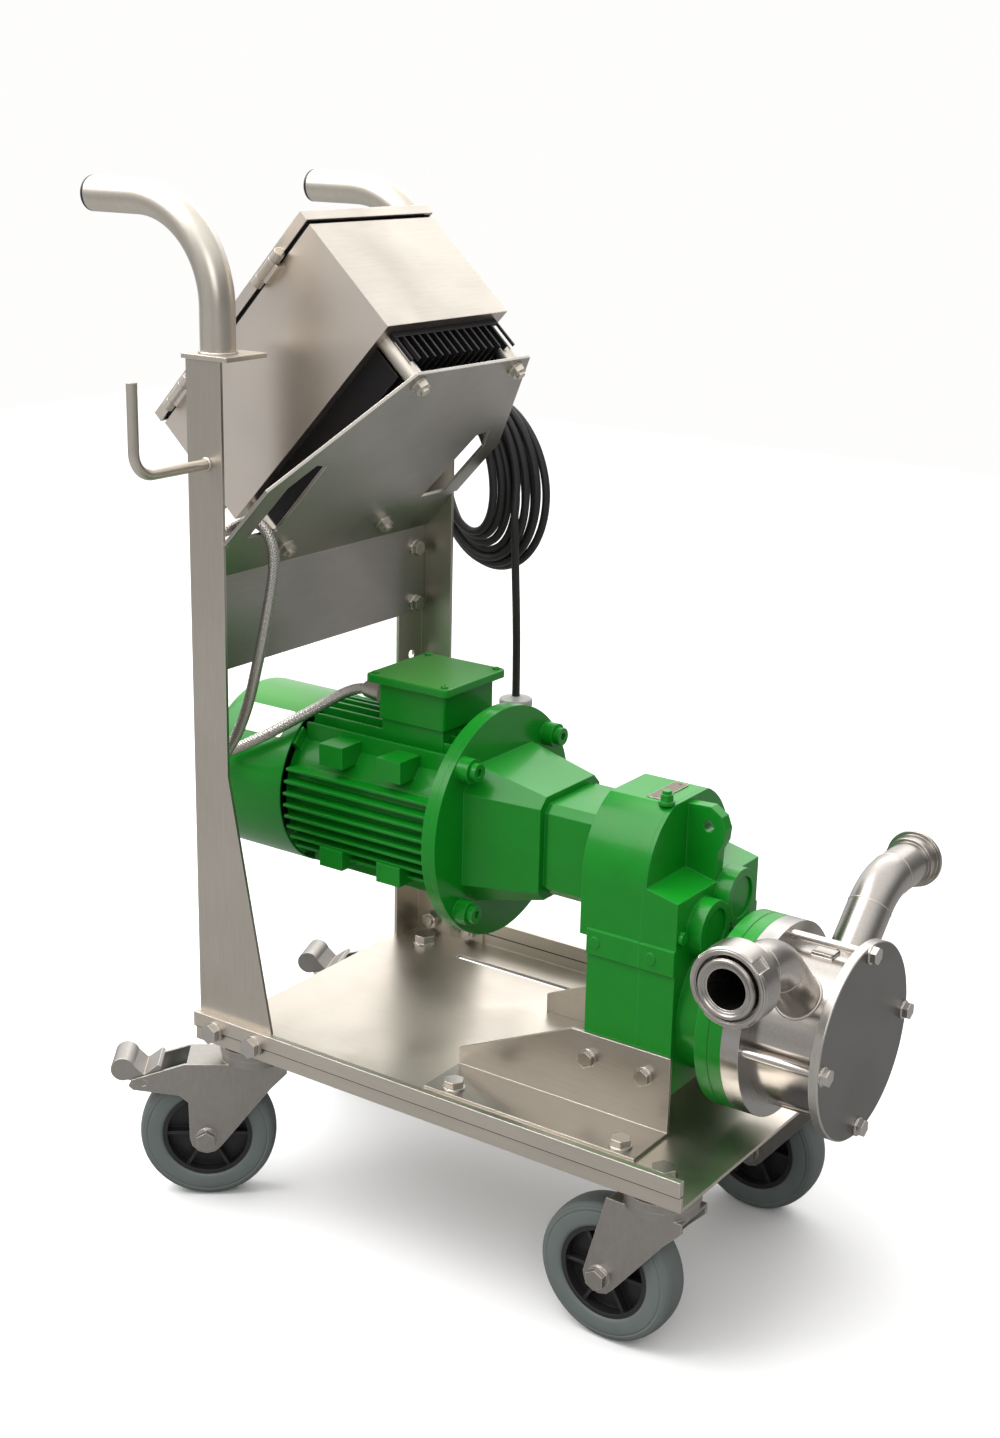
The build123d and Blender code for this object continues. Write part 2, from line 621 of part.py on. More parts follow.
def brake_pedal():
    """Rocking pedal between the fork's arms: a roll to tread on and a short nose."""
    inner = WHEEL_WIDTH / 2 + FORK_SIDE_GAP - SEAT_GAP
    roll_x = BRAKE_ARM_X - 5
    roll_z = BRAKE_ARM_Z + 14
    outline = [(roll_x + 4, roll_z - 10), (PEDAL_PIVOT_X + 6, PEDAL_PIVOT_Z - 5),
               (PEDAL_PIVOT_X + 8, PEDAL_PIVOT_Z + 3), (PEDAL_PIVOT_X + 16, PEDAL_PIVOT_Z + 15),
               (PEDAL_PIVOT_X + 13, PEDAL_PIVOT_Z + 17), (PEDAL_PIVOT_X, PEDAL_PIVOT_Z + 7),
               (roll_x + 8, roll_z + 6)]
    lever = side_plate(outline, -inner, inner)
    roll = rod_y(PEDAL_ROLL_RADIUS, -inner, inner, roll_x, roll_z)
    pin = rod_y(PEDAL_PIN_RADIUS, -inner - FORK_SHEET, inner + FORK_SHEET, PEDAL_PIVOT_X, PEDAL_PIVOT_Z)
    hollow = rod_y(PEDAL_ROLL_RADIUS - 3, -inner + 3, inner + 1, roll_x, roll_z)
    return lever + roll - hollow + pin


def wheel_centre():
    """Black moulded centre: rim, thin web, hub and ribs on both faces."""
    rim = WHEEL_CENTRE_DIAMETER / 2
    half = WHEEL_WIDTH / 2 - 2
    hub = rod_y(11, -half - 1, half + 1, 0, 0)
    band = rod_y(rim, -half, half, 0, 0) - rod_y(rim - 4, -half - 1, half + 1, 0, 0)
    web = rod_y(rim - 3, -2.5, 2.5, 0, 0)
    ribs = []
    for index in range(6):
        rib = Pos((rim - 4 + 9) / 2, 0, 0) * Box(rim - 4 - 9 + 2, 2 * half - 5, 3)
        ribs.append(Rot(0, index * 60, 0) * rib)
    wheel = weld([band, web, hub] + ribs) - rod_y(AXLE_RADIUS + RUNNING, -half - 2, half + 2, 0, 0)
    return Pos(-CASTOR_TRAIL, 0, WHEEL_DIAMETER / 2) * wheel


def tyre():
    outer = WHEEL_DIAMETER / 2
    inner = WHEEL_CENTRE_DIAMETER / 2
    half = WHEEL_WIDTH / 2
    shoulder = WHEEL_SHOULDER
    points = [(inner, -half + 2), (outer - shoulder * 1.6, -half), (outer - shoulder * 0.5, -half + 2),
              (outer - 1, -half + shoulder), (outer, -half + shoulder * 1.9)]
    outline = points + [(r, -y) for r, y in reversed(points)]
    face = make_face(Polyline(*outline, close=True))
    wheel = revolve(Plane.XY * face, Axis.Y)
    return Pos(-CASTOR_TRAIL, 0, WHEEL_DIAMETER / 2) * wheel


# Speed-control box on four standoffs

def inclined(x0, x1, y0, y1, z0, z1):
    return INCLINE.location * block(x0, x1, y0, y1, z0, z1)


def control_box():
    top = BOX_LOW + BOX_DEPTH
    end = BOX_START + BOX_LENGTH
    wall = BOX_SHEET
    body = inclined(BOX_START, end, -BOX_HALF_WIDTH, BOX_HALF_WIDTH, BOX_LOW, top)
    inside = inclined(BOX_START + wall, end - wall, -BOX_HALF_WIDTH + wall, BOX_HALF_WIDTH - wall,
                      BOX_LOW + wall, top + 1)
    body = body - inside
    holes = []
    for along, y in standoff_places():
        holes.append(INCLINE.location * rod_z(STUD_RADIUS + BOLT_PLAY, BOX_LOW - 1, BOX_LOW + wall + 1, along, y))
    for y in (HOSE_GLAND_Y, LEAD_GLAND_Y):
        holes.append(INCLINE.location * rod_x(GLAND_THREAD, BOX_START - 1, BOX_START + wall + 1, y, BOX_GLAND_Z))
    for along in LID_HINGES:
        leaf = block(along - 10, along + 10, HINGE_Y, -BOX_HALF_WIDTH, HINGE_OFF - LID_HINGE_RADIUS - 3,
                     HINGE_OFF - LID_HINGE_RADIUS + 1)
        cheek = block(along - 10, along + 10, HINGE_Y - 2, HINGE_Y + 2, HINGE_OFF - LID_HINGE_RADIUS - 3,
                      HINGE_OFF)
        eye = rod_x(LID_HINGE_RADIUS, along - 10, along + 10, HINGE_Y, HINGE_OFF)
        body += INCLINE.location * (leaf + cheek + eye)
        holes.append(INCLINE.location * rod_x(LID_HINGE_PIN + RUNNING, along - 11, along + 11,
                                              HINGE_Y, HINGE_OFF))
    return body - holes


HINGE_Y = -BOX_HALF_WIDTH - LID_PROUD - LID_HINGE_RADIUS - SEAT_GAP
HINGE_OFF = BOX_LOW + BOX_DEPTH + LID_GAP
GLAND_THREAD = 8
GLAND_HEX = 22
HOSE_GLAND_Y = -52
LEAD_GLAND_Y = 40
BOX_GLAND_Z = BOX_LOW + 34


def box_lid():
    """Shallow lid that stands a little proud of the box, with the lid halves of its hinges."""
    low = BOX_LOW + BOX_DEPTH + LID_GAP
    top = low + LID_DEPTH
    start = BOX_START - LID_PROUD
    end = BOX_START + BOX_LENGTH + LID_PROUD
    half = BOX_HALF_WIDTH + LID_PROUD
    wall = BOX_SHEET
    lid = block(start, end, -half, half, low, top)
    lid -= block(start + wall, end - wall, -half + wall, half - wall, low - 1, top - wall)
    for along in LID_HINGES:
        for side in (-1, 1):
            centre = along + side * 15
            eye = rod_x(LID_HINGE_RADIUS, centre - 4.5, centre + 4.5, HINGE_Y, HINGE_OFF)
            leaf = block(centre - 4.5, centre + 4.5, HINGE_Y, -half, HINGE_OFF + LID_HINGE_RADIUS - 3,
                         HINGE_OFF + LID_HINGE_RADIUS)
            lid += eye + leaf
        lid += rod_x(LID_HINGE_PIN, along - 19, along + 19, HINGE_Y, HINGE_OFF)
    return INCLINE.location * lid


def lid_gasket():
    """Seal strip on the box rim, met by the closed lid's inner face."""
    low = BOX_LOW + BOX_DEPTH
    high = low + LID_GAP + LID_DEPTH - BOX_SHEET - SEAT_GAP
    start = BOX_START + 4
    end = BOX_START + BOX_LENGTH - 4
    half = BOX_HALF_WIDTH - 4
    seal = block(start, end, -half, half, low, high)
    rim = BOX_SHEET
    seal += block(BOX_START + rim, BOX_START + BOX_LENGTH - rim, -BOX_HALF_WIDTH + rim,
                  BOX_HALF_WIDTH - rim, low - 6, low)
    opening = block(start + GASKET_WIDTH, end - GASKET_WIDTH, -half + GASKET_WIDTH, half - GASKET_WIDTH,
                    low - 7, high + 1)
    return INCLINE.location * (seal - opening)


def heat_sink():
    start = BOX_START + (BOX_LENGTH - SINK_LENGTH) / 2
    end = start + SINK_LENGTH
    high = BOX_LOW
    low = high - SINK_HEIGHT
    base = block(start, end, -SINK_HALF_WIDTH, SINK_HALF_WIDTH, high - SINK_BASE, high)
    fins = []
    pitch = (2 * SINK_HALF_WIDTH - SINK_FIN) / (SINK_FINS - 1)
    for index in range(SINK_FINS):
        y = -SINK_HALF_WIDTH + index * pitch
        fins.append(block(start, end, y, y + SINK_FIN, low, high - SINK_BASE))
    sink = weld([base] + fins)
    for along, y in standoff_places():
        sink -= rod_z(STANDOFF_RADIUS + 2, low - 1, high + 1, along, y)
    return INCLINE.location * sink


def box_standoffs():
    """Four spacer tubes, each with a stud and nuts through the sheet and the box floor."""
    solids = []
    for along, y in standoff_places():
        tube = rod_z(STANDOFF_RADIUS, SHEET, BOX_LOW, along, y)
        tube -= rod_z(STUD_RADIUS + BOLT_PLAY, SHEET - 1, BOX_LOW + 1, along, y)
        stud = rod_z(STUD_RADIUS, -WASHER - M8_HEAD - 3, BOX_LOW + BOX_SHEET + M8_HEAD, along, y)
        below = Plane.XY.offset(-WASHER - M8_HEAD) * Pos(along, y)
        nut = extrude(below * RegularPolygon(M8_HEX / 2, 6, major_radius=False), M8_HEAD)
        washer = rod_z(M8_HEX * 0.62, -WASHER, 0, along, y)
        above = Plane.XY.offset(BOX_LOW + BOX_SHEET) * Pos(along, y)
        top_nut = extrude(above * RegularPolygon(M8_HEX / 2, 6, major_radius=False), M8_HEAD)
        solids.append(INCLINE.location * tube)
        solids.append(INCLINE.location * weld([stud, nut, washer, top_nut]))
    return group(solids)


def gland(plane, bore, reach_in, dome):
    """Cable gland: hex, domed nut and a threaded shank that goes through the wall."""
    hexagon = extrude(plane * RegularPolygon(GLAND_HEX / 2, 6, major_radius=False), 5)
    cap = loft([plane.offset(5) * Circle(GLAND_HEX * 0.46), plane.offset(5 + dome) * Circle(bore + 2.5)])
    shank = extrude(plane * Circle(GLAND_THREAD - RUNNING), -reach_in)
    hole = extrude(plane.offset(5 + dome - GLAND_CORD_DEPTH) * Circle(bore + RUNNING), GLAND_CORD_DEPTH + 1)
    return weld([hexagon, cap, shank]) - hole


GLAND_CORD_DEPTH = 6
GLAND_DOME = 11
HOSE_GLAND_BORE = HOSE_RADIUS
LEAD_GLAND_BORE = LEAD_RADIUS


def box_gland_plane(y):
    point = INCLINE.location * Pos(BOX_START, y, BOX_GLAND_Z)
    down = INCLINE.x_dir * -1
    return facing(point.position, (down.X, down.Y, down.Z))


def terminal_gland_plane():
    return facing((TERMINAL_REAR_X, TERMINAL_GLAND_Y, TERMINAL_GLAND_Z), (-1, 0, 0))


TERMINAL_GLAND_Y = -22
TERMINAL_GLAND_Z = TERMINAL_TOP_Z - 22.5
TERMINAL_GLAND_DOME = 20


def cable_glands():
    wall = BOX_SHEET + 6
    shapes = [
        gland(box_gland_plane(HOSE_GLAND_Y), HOSE_GLAND_BORE, wall, GLAND_DOME),
        gland(box_gland_plane(LEAD_GLAND_Y), LEAD_GLAND_BORE, wall, GLAND_DOME),
        gland(terminal_gland_plane(), HOSE_GLAND_BORE, 3, TERMINAL_GLAND_DOME),
    ]
    return group(shapes)


# Motor

def motor_housing():
    front = MOTOR_FLANGE_X - MOTOR_FLANGE_THICKNESS
    rear = MOTOR_BODY_REAR_X
    body = rod_x(MOTOR_BODY_RADIUS, rear, front, 0, MOTOR_Z)
    fins = []
    for index in range(SIDE_FINS):
        z = MOTOR_Z + (index - (SIDE_FINS - 1) / 2 - 1) * SIDE_FIN_PITCH
        reach = (MOTOR_FIN_RADIUS ** 2 - (z - MOTOR_Z) ** 2) ** 0.5
        fins.append(block(rear + COWL_LUG, front - 12, -reach, reach, z - FIN_THICKNESS / 2, z + FIN_THICKNESS / 2))
    for index in range(BOTTOM_FINS):
        y = (index - (BOTTOM_FINS - 1) / 2) * SIDE_FIN_PITCH
        reach = (MOTOR_FIN_RADIUS ** 2 - y ** 2) ** 0.5
        fins.append(block(rear + COWL_LUG, front - 12, y - FIN_THICKNESS / 2, y + FIN_THICKNESS / 2,
                          MOTOR_Z - reach, MOTOR_Z))
    pads = []
    for x in FOOT_PAD_X:
        for side in (-1, 1):
            for z0, z1 in ((MOTOR_Z + 40, MOTOR_Z + 60), (MOTOR_Z - 56, MOTOR_Z - 38)):
                y0, y1 = sorted((side * 30, side * 74))
                pads.append(block(x - 13, x + 13, y0, y1, z0, z1))
    pedestal_half = TERMINAL_WIDTH / 2 - TERMINAL_OVERHANG - 3
    seat = block(TERMINAL_REAR_X + 3, TERMINAL_X + TERMINAL_LENGTH / 2 - TERMINAL_OVERHANG - 3,
                 -pedestal_half, pedestal_half, MOTOR_Z, TERMINAL_BOX_LOW_Z)
    lugs = []
    for angle in (45, 135, 225, 315):
        lug = block(rear, rear + COWL_LUG, MOTOR_BODY_RADIUS - 4, COWL_RADIUS - COWL_WALL - 0.8, -9, 9)
        lugs.append(Pos(0, 0, MOTOR_Z) * Rot(angle, 0, 0) * lug)
    housing = weld([body] + fins + pads + [seat] + lugs)
    housing -= rod_x(MOTOR_BORE, rear + REAR_SHIELD, front + 1, 0, MOTOR_Z)
    housing -= rod_x(BEARING_RADIUS, rear + REAR_SHIELD - BEARING_WIDTH, rear + REAR_SHIELD + 1, 0, MOTOR_Z)
    housing -= rod_x(MOTOR_SHAFT_RADIUS + 1, rear - 1, front, 0, MOTOR_Z)
    return housing


REAR_SHIELD = 16


def motor_flange():
    front = MOTOR_FLANGE_X
    rear = front - MOTOR_FLANGE_THICKNESS
    disc = rod_x(MOTOR_FLANGE_RADIUS, rear, front, 0, MOTOR_Z)
    spigot = rod_x(MOTOR_BORE - RUNNING, rear - BEARING_WIDTH, rear, 0, MOTOR_Z)
    flange = disc + spigot
    flange -= rod_x(BEARING_RADIUS, rear - BEARING_WIDTH - 1, rear, 0, MOTOR_Z)
    flange -= rod_x(MOTOR_SHAFT_RADIUS + 1, rear - 1, front + 1, 0, MOTOR_Z)
    return flange - flange_bolt_holes(rear - 1, front + 1)


def flange_bolt_places():
    reach = LANTERN_BOLT_RADIUS * cos(radians(45))
    return [(y, MOTOR_Z + z) for y in (-reach, reach) for z in (-reach, reach)]


def flange_bolt_holes(x0, x1):
    return [rod_x(M10_RADIUS + BOLT_PLAY, x0, x1, y, z) for y, z in flange_bolt_places()]


def fan_cowl():
    rear = COWL_REAR_X
    front = COWL_FRONT_X
    shell = rod_x(COWL_RADIUS, rear, front, 0, MOTOR_Z)
    shell = fillet(shell.faces().sort_by(Axis.X)[0].edges(), 12)
    hollow = rod_x(COWL_RADIUS - COWL_WALL, rear + COWL_WALL, front + 1, 0, MOTOR_Z)
    hollow = fillet(hollow.faces().sort_by(Axis.X)[0].edges(), 12 - COWL_WALL)
    slots = []
    for index in range(16):
        slot = Pos(rear, 0, 0) * block(-1, COWL_WALL + 1, 18, 60, -2.2, 2.2)
        slots.append(Pos(0, 0, MOTOR_Z) * Rot(index * 22.5, 0, 0) * slot)
    return shell - hollow - slots


def stator():
    front = STACK_START_X + STACK_LENGTH
    stack = ring_x(MOTOR_BORE - RUNNING, ROTOR_RADIUS + ROTOR_GAP, STACK_START_X, front, 0, MOTOR_Z)
    coils = ring_x(MOTOR_BORE - 8, ROTOR_RADIUS + 4, STACK_START_X - 12, front + 12, 0, MOTOR_Z)
    return stack + coils


def rotor():
    shaft = rod_x(MOTOR_SHAFT_RADIUS - RUNNING, COWL_REAR_X + 14, MOTOR_SHAFT_END_X, 0, MOTOR_Z)
    stack = rod_x(ROTOR_RADIUS, STACK_START_X, STACK_START_X + STACK_LENGTH, 0, MOTOR_Z)
    return shaft + stack


MOTOR_SHAFT_END_X = MOTOR_FLANGE_X + 40
FAN_X = -34
FAN_LENGTH = 26
FAN_RADIUS = 70


def cooling_fan():
    hub = ring_x(24, MOTOR_SHAFT_RADIUS - RUNNING, FAN_X, FAN_X + FAN_LENGTH, 0, MOTOR_Z)
    disc = ring_x(50, 22, FAN_X + FAN_LENGTH - 4, FAN_X + FAN_LENGTH, 0, MOTOR_Z)
    blades = []
    for index in range(6):
        blade = block(FAN_X, FAN_X + FAN_LENGTH, 22, FAN_RADIUS, -1.5, 1.5)
        blades.append(Pos(0, 0, MOTOR_Z) * Rot(index * 60, 0, 0) * blade)
    return weld([hub, disc] + blades)


def bearings():
    """Ball bearings as plain rings: two on the motor, and the pairs of the gearbox shafts."""
    rings = []
    rear = MOTOR_BODY_REAR_X + REAR_SHIELD - BEARING_WIDTH
    front = MOTOR_FLANGE_X - MOTOR_FLANGE_THICKNESS - BEARING_WIDTH
    for x in (rear, front):
        rings.append(ring_x(BEARING_RADIUS, MOTOR_SHAFT_RADIUS, x, x + BEARING_WIDTH, 0, MOTOR_Z))
    for y, z in (GEAR_A, GEAR_B):
        rings.append(ring_x(LAYSHAFT_SEAT, LAYSHAFT_RADIUS + RUNNING, GEARBOX_FRONT_X - GEARBOX_WALL,
                            GEARBOX_FRONT_X + 4, y, z))
        rings.append(ring_x(REAR_SEAT, LAYSHAFT_RADIUS + RUNNING, COVER_INNER_X,
                            COVER_INNER_X + REAR_BOSS, y, z))
    rings.append(ring_x(OUTPUT_SEAT, PUMP_SHAFT_RADIUS + RUNNING, GEARBOX_FRONT_X, GEARBOX_FRONT_X + 14,
                        0, PUMP_Z))
    return group(rings)


LAYSHAFT_SEAT = 14
REAR_SEAT = 9.5
REAR_BOSS = 5.5
OUTPUT_SEAT = 26
COVER_INNER_X = GEARBOX_REAR_X + GEARBOX_FLANGE + GEARBOX_WALL


def terminal_box():
    """Box on the motor's pedestal, under a flat lid that overhangs it all round."""
    x0 = TERMINAL_X - TERMINAL_LENGTH / 2
    x1 = TERMINAL_X + TERMINAL_LENGTH / 2
    half = TERMINAL_WIDTH / 2
    seam = TERMINAL_TOP_Z - TERMINAL_LID
    box_front = x1 - TERMINAL_OVERHANG
    box_half = half - TERMINAL_OVERHANG
    wall = 3.5
    box = block(TERMINAL_REAR_X, box_front, -box_half, box_half, TERMINAL_BOX_LOW_Z, seam)
    box = fillet(box.edges().filter_by(Axis.Z), 4)
    box -= block(TERMINAL_REAR_X + wall, box_front - wall, -box_half + wall, box_half - wall,
                 TERMINAL_BOX_LOW_Z + wall, seam + 1)
    box -= rod_x(GLAND_THREAD, TERMINAL_REAR_X - 1, TERMINAL_REAR_X + wall + 1, TERMINAL_GLAND_Y,
                 TERMINAL_GLAND_Z)
    lid = block(x0, x1, -half, half, seam, TERMINAL_TOP_Z)
    lid = fillet(lid.edges().filter_by(Axis.Z), 6)
    lid = fillet(lid.faces().sort_by(Axis.Z)[-1].edges(), 1.5)
    return group([box, lid])


# Lantern and coupling

def octagon(half, cut):
    return [(-half, -half + cut), (-half + cut, -half), (half - cut, -half), (half, -half + cut),
            (half, half - cut), (half - cut, half), (-half + cut, half), (-half, half - cut)]


def tapered_block(wide, narrow, x0, x1):
    """Solid between two outlines in Y and Z with as many corners, closed by flat faces."""
    near = [(x0, y, z) for y, z in wide]
    far = [(x1, y, z) for y, z in narrow]
    outlines = [near, far]
    for index in range(len(near)):
        after = (index + 1) % len(near)
        outlines.append([near[index], near[after], far[after], far[index]])
    faces = [Face(Wire.make_polygon(outline, close=True)) for outline in outlines]
    return Solid(Shell(faces))


def lantern():
    start = MOTOR_FLANGE_X + LANTERN_FLANGE
    flange = rod_x(MOTOR_FLANGE_RADIUS, MOTOR_FLANGE_X, start, 0, MOTOR_Z)
    big = octagon(TAPER_START_HALF, TAPER_START_CHAMFER)
    small = octagon(TAPER_END_HALF, TAPER_END_CHAMFER)
    axis = Pos(0, 0, MOTOR_Z)
    taper = axis * tapered_block(big, small, start, TAPER_END_X)
    groove = axis * cross_section(octagon(NECK_HALF - 1, NECK_CHAMFER), TAPER_END_X, TAPER_END_X + 4)
    neck = axis * cross_section(octagon(NECK_HALF, NECK_CHAMFER), TAPER_END_X + 4, GEARBOX_REAR_X)
    bosses = []
    for y, z in flange_bolt_places():
        bosses.append(rod_x(LANTERN_BOSS_RADIUS, start, start + LANTERN_BOSS, y, z))
    body = weld([flange, taper, groove, neck] + bosses)
    body -= rod_x(LANTERN_BORE, MOTOR_FLANGE_X - 1, GEARBOX_REAR_X + 1, 0, MOTOR_Z)
    return body - [rod_x(M10_RADIUS + BOLT_PLAY, MOTOR_FLANGE_X - 1, start + LANTERN_BOSS + 1, y, z)
                   for y, z in flange_bolt_places()]


def flange_screws():
    """Socket screws through the lantern's four bosses into the motor flange."""
    screws = []
    seat = MOTOR_FLANGE_X + LANTERN_FLANGE + LANTERN_BOSS
    for y, z in flange_bolt_places():
        screw = rod_x(8, seat, seat + 6, y, z)
        screw += rod_x(M10_RADIUS, MOTOR_FLANGE_X - MOTOR_FLANGE_THICKNESS, seat, y, z)
        socket = extrude(Plane.YZ.offset(seat + 2) * Pos(y, z) * RegularPolygon(4, 6), 5)
        screws.append(screw - socket)
    return group(screws)


COUPLING_RADIUS = 28
COUPLING_START_X = MOTOR_FLANGE_X + 14
COUPLING_HUB = 27
COUPLING_GAP = 9
INPUT_SHAFT_RADIUS = 9


def shaft_coupling():
    """Two jaw hubs and the elastic spider between them."""
    middle = COUPLING_START_X + COUPLING_HUB
    end = middle + COUPLING_GAP
    first = ring_x(COUPLING_RADIUS, MOTOR_SHAFT_RADIUS, COUPLING_START_X, middle, 0, MOTOR_Z)
    spider = rod_x(COUPLING_RADIUS - 1, middle, end, 0, MOTOR_Z)
    second = ring_x(COUPLING_RADIUS, INPUT_SHAFT_RADIUS, end, end + COUPLING_HUB, 0, MOTOR_Z)
    spider -= [rod_x(4, middle - 1, end + 1, 17 * cos(radians(a)), MOTOR_Z + 17 * sin(radians(a)))
               for a in range(30, 390, 60)]
    return group([first, spider, second])


# Gear train

def meet_point(first, first_radius, second, second_radius):
    """The point at both distances from two centres, on the minus Y side of the line between."""
    dy = second[0] - first[0]
    dz = second[1] - first[1]
    span = hypot(dy, dz)
    turn = acos((first_radius ** 2 + span ** 2 - second_radius ** 2) / (2 * first_radius * span))
    heading = atan2(dz, dy) - turn
    return (first[0] + first_radius * cos(heading), first[1] + first_radius * sin(heading))


INPUT_AXIS = (0, MOTOR_Z)
OUTPUT_AXIS = (0, PUMP_Z)
GEAR_A = (STAGE_ONE_CENTRES * cos(radians(GEAR_A_BEARING)),
          MOTOR_Z + STAGE_ONE_CENTRES * sin(radians(GEAR_A_BEARING)))
GEAR_B = meet_point(GEAR_A, STAGE_TWO_CENTRES, OUTPUT_AXIS, STAGE_THREE_CENTRES)


def bearing_between(first, second):
    return degrees(atan2(second[1] - first[1], second[0] - first[0]))


def mesh_phase(first, first_phase, first_teeth, second, second_teeth):
    """Angle of a tooth of the second gear that puts a gap opposite the first gear's tooth."""
    line = bearing_between(first, second)
    offset = first_phase - line
    gap = line + 180 - offset * first_teeth / second_teeth
    return gap + 180 / second_teeth


def toothed_wheel(module, teeth, centre, phase, x0, width):
    """Spur gear with straight flanks; the first tooth points along phase, in degrees."""
    pitch_radius = module * teeth / 2
    tip = pitch_radius + module * 0.92
    root = pitch_radius - module * ROOT_DEPTH
    step = 2 * pi / teeth
    half_tip = step * TOOTH_SHARE * 0.22
    half_pitch = step * TOOTH_SHARE / 2
    half_root = step * TOOTH_SHARE * 0.74
    points = []
    for index in range(teeth):
        middle = radians(phase) + index * step
        for angle, radius in ((-half_root, root), (-half_pitch, pitch_radius), (-half_tip, tip),
                              (half_tip, tip), (half_pitch, pitch_radius), (half_root, root)):
            points.append((centre[0] + radius * cos(middle + angle), centre[1] + radius * sin(middle + angle)))
    return cross_section(points, x0, x0 + width)


PHASE_INPUT = 0
PHASE_A = mesh_phase(INPUT_AXIS, PHASE_INPUT, STAGE_ONE[1], GEAR_A, STAGE_ONE[2])
PHASE_B = mesh_phase(GEAR_A, PHASE_A, STAGE_TWO[1], GEAR_B, STAGE_TWO[2])
PHASE_OUTPUT = mesh_phase(GEAR_B, PHASE_B, STAGE_THREE[1], OUTPUT_AXIS, STAGE_THREE[2])


def input_shaft():
    start = COUPLING_START_X + COUPLING_HUB + COUPLING_GAP
    shaft = rod_x(INPUT_SHAFT_RADIUS, start, COVER_INNER_X + 3, 0, MOTOR_Z)
    shaft += rod_x(6, COVER_INNER_X + 3, STAGE_ONE_X + GEAR_WIDTH + 1, 0, MOTOR_Z)
    module, driver, _ = STAGE_ONE
    return shaft + toothed_wheel(module, driver, INPUT_AXIS, PHASE_INPUT, STAGE_ONE_X, GEAR_WIDTH)


def gear_cluster_a():
    shaft = rod_x(LAYSHAFT_RADIUS, COVER_INNER_X, GEARBOX_FRONT_X + 4, *GEAR_A)
    wheel = toothed_wheel(STAGE_ONE[0], STAGE_ONE[2], GEAR_A, PHASE_A, STAGE_ONE_X, GEAR_WIDTH)
    pinion = toothed_wheel(STAGE_TWO[0], STAGE_TWO[1], GEAR_A, PHASE_A, STAGE_TWO_X, GEAR_WIDTH + 1)
    return weld([shaft, wheel, pinion])


def gear_cluster_b():
    shaft = rod_x(LAYSHAFT_RADIUS, COVER_INNER_X, GEARBOX_FRONT_X + 4, *GEAR_B)
    wheel = toothed_wheel(STAGE_TWO[0], STAGE_TWO[2], GEAR_B, PHASE_B, STAGE_TWO_X, GEAR_WIDTH + 1)
    pinion = toothed_wheel(STAGE_THREE[0], STAGE_THREE[1], GEAR_B, PHASE_B, STAGE_THREE_X, FINAL_GEAR_WIDTH)
    return weld([shaft, wheel, pinion])


def output_gear():
    """Last wheel on the output shaft, which runs through the seal into the impeller."""
    wheel = toothed_wheel(STAGE_THREE[0], STAGE_THREE[2], OUTPUT_AXIS, PHASE_OUTPUT,
                          STAGE_THREE_X, FINAL_GEAR_WIDTH)
    hub = rod_x(20, STAGE_THREE_X, STAGE_THREE_X + FINAL_GEAR_WIDTH + 8, *OUTPUT_AXIS)
    shaft = rod_x(PUMP_SHAFT_RADIUS, STAGE_THREE_X - 6, COVER_X - 4, *OUTPUT_AXIS)
    return weld([wheel, hub, shaft])


def casing_section(inset):
    """Outline of the gearbox in Y and Z: flat sides and foot, round shoulders, flat top."""
    half = GEARBOX_HALF_WIDTH - inset
    low = GEARBOX_LOW_Z + inset
    top = MOTOR_Z + GEARBOX_TOP - inset
    reach = (half ** 2 - (top - MOTOR_Z) ** 2) ** 0.5
    middle = (half * cos(radians(40)), MOTOR_Z + half * sin(radians(40)))
    outline = Polyline((-half, MOTOR_Z), (-half, low), (half, low), (half, MOTOR_Z))
    near = ThreePointArc((half, MOTOR_Z), middle, (reach, top))
    flat = Line((reach, top), (-reach, top))
    far = ThreePointArc((-reach, top), (-middle[0], middle[1]), (-half, MOTOR_Z))
    return make_face([outline, near, flat, far])


def casing(inset, x0, x1):
    return extrude(Plane.YZ.offset(x0) * casing_section(inset), x1 - x0)


def gearbox_cover():
    """Rear half of the casing with the round-topped flange that the lantern meets."""
    rear = GEARBOX_REAR_X
    shell = casing(0, rear, GEARBOX_SPLIT_X)
    shell -= casing(GEARBOX_WALL, COVER_INNER_X, GEARBOX_SPLIT_X + 1)
    step = block(rear - 1, rear + GEARBOX_FLANGE, -GEARBOX_HALF_WIDTH - 1, GEARBOX_HALF_WIDTH + 1,
                 GEARBOX_LOW_Z - 1, FLANGE_LOW_Z)
    shell -= step
    for y, z in (GEAR_A, GEAR_B):
        boss = ring_x(REAR_SEAT + 2.5, REAR_SEAT, COVER_INNER_X - 1, COVER_INNER_X + REAR_BOSS, y, z)
        shell += boss - rod_x(STAGE_ONE_TIP, COVER_INNER_X, GEARBOX_SPLIT_X, *INPUT_AXIS)
    shell -= rod_x(INPUT_SHAFT_RADIUS + RUNNING, rear - 1, COVER_INNER_X + 1, *INPUT_AXIS)
    shell = shell + side_bands(GEARBOX_REAR_X + GEARBOX_FLANGE, GEARBOX_SPLIT_X, BAND_SCREWS_X[0])
    return shell - side_bolt_holes()


FLANGE_LOW_Z = 318
STAGE_ONE_TIP = STAGE_ONE[0] * (STAGE_ONE[1] / 2 + 1) + 1


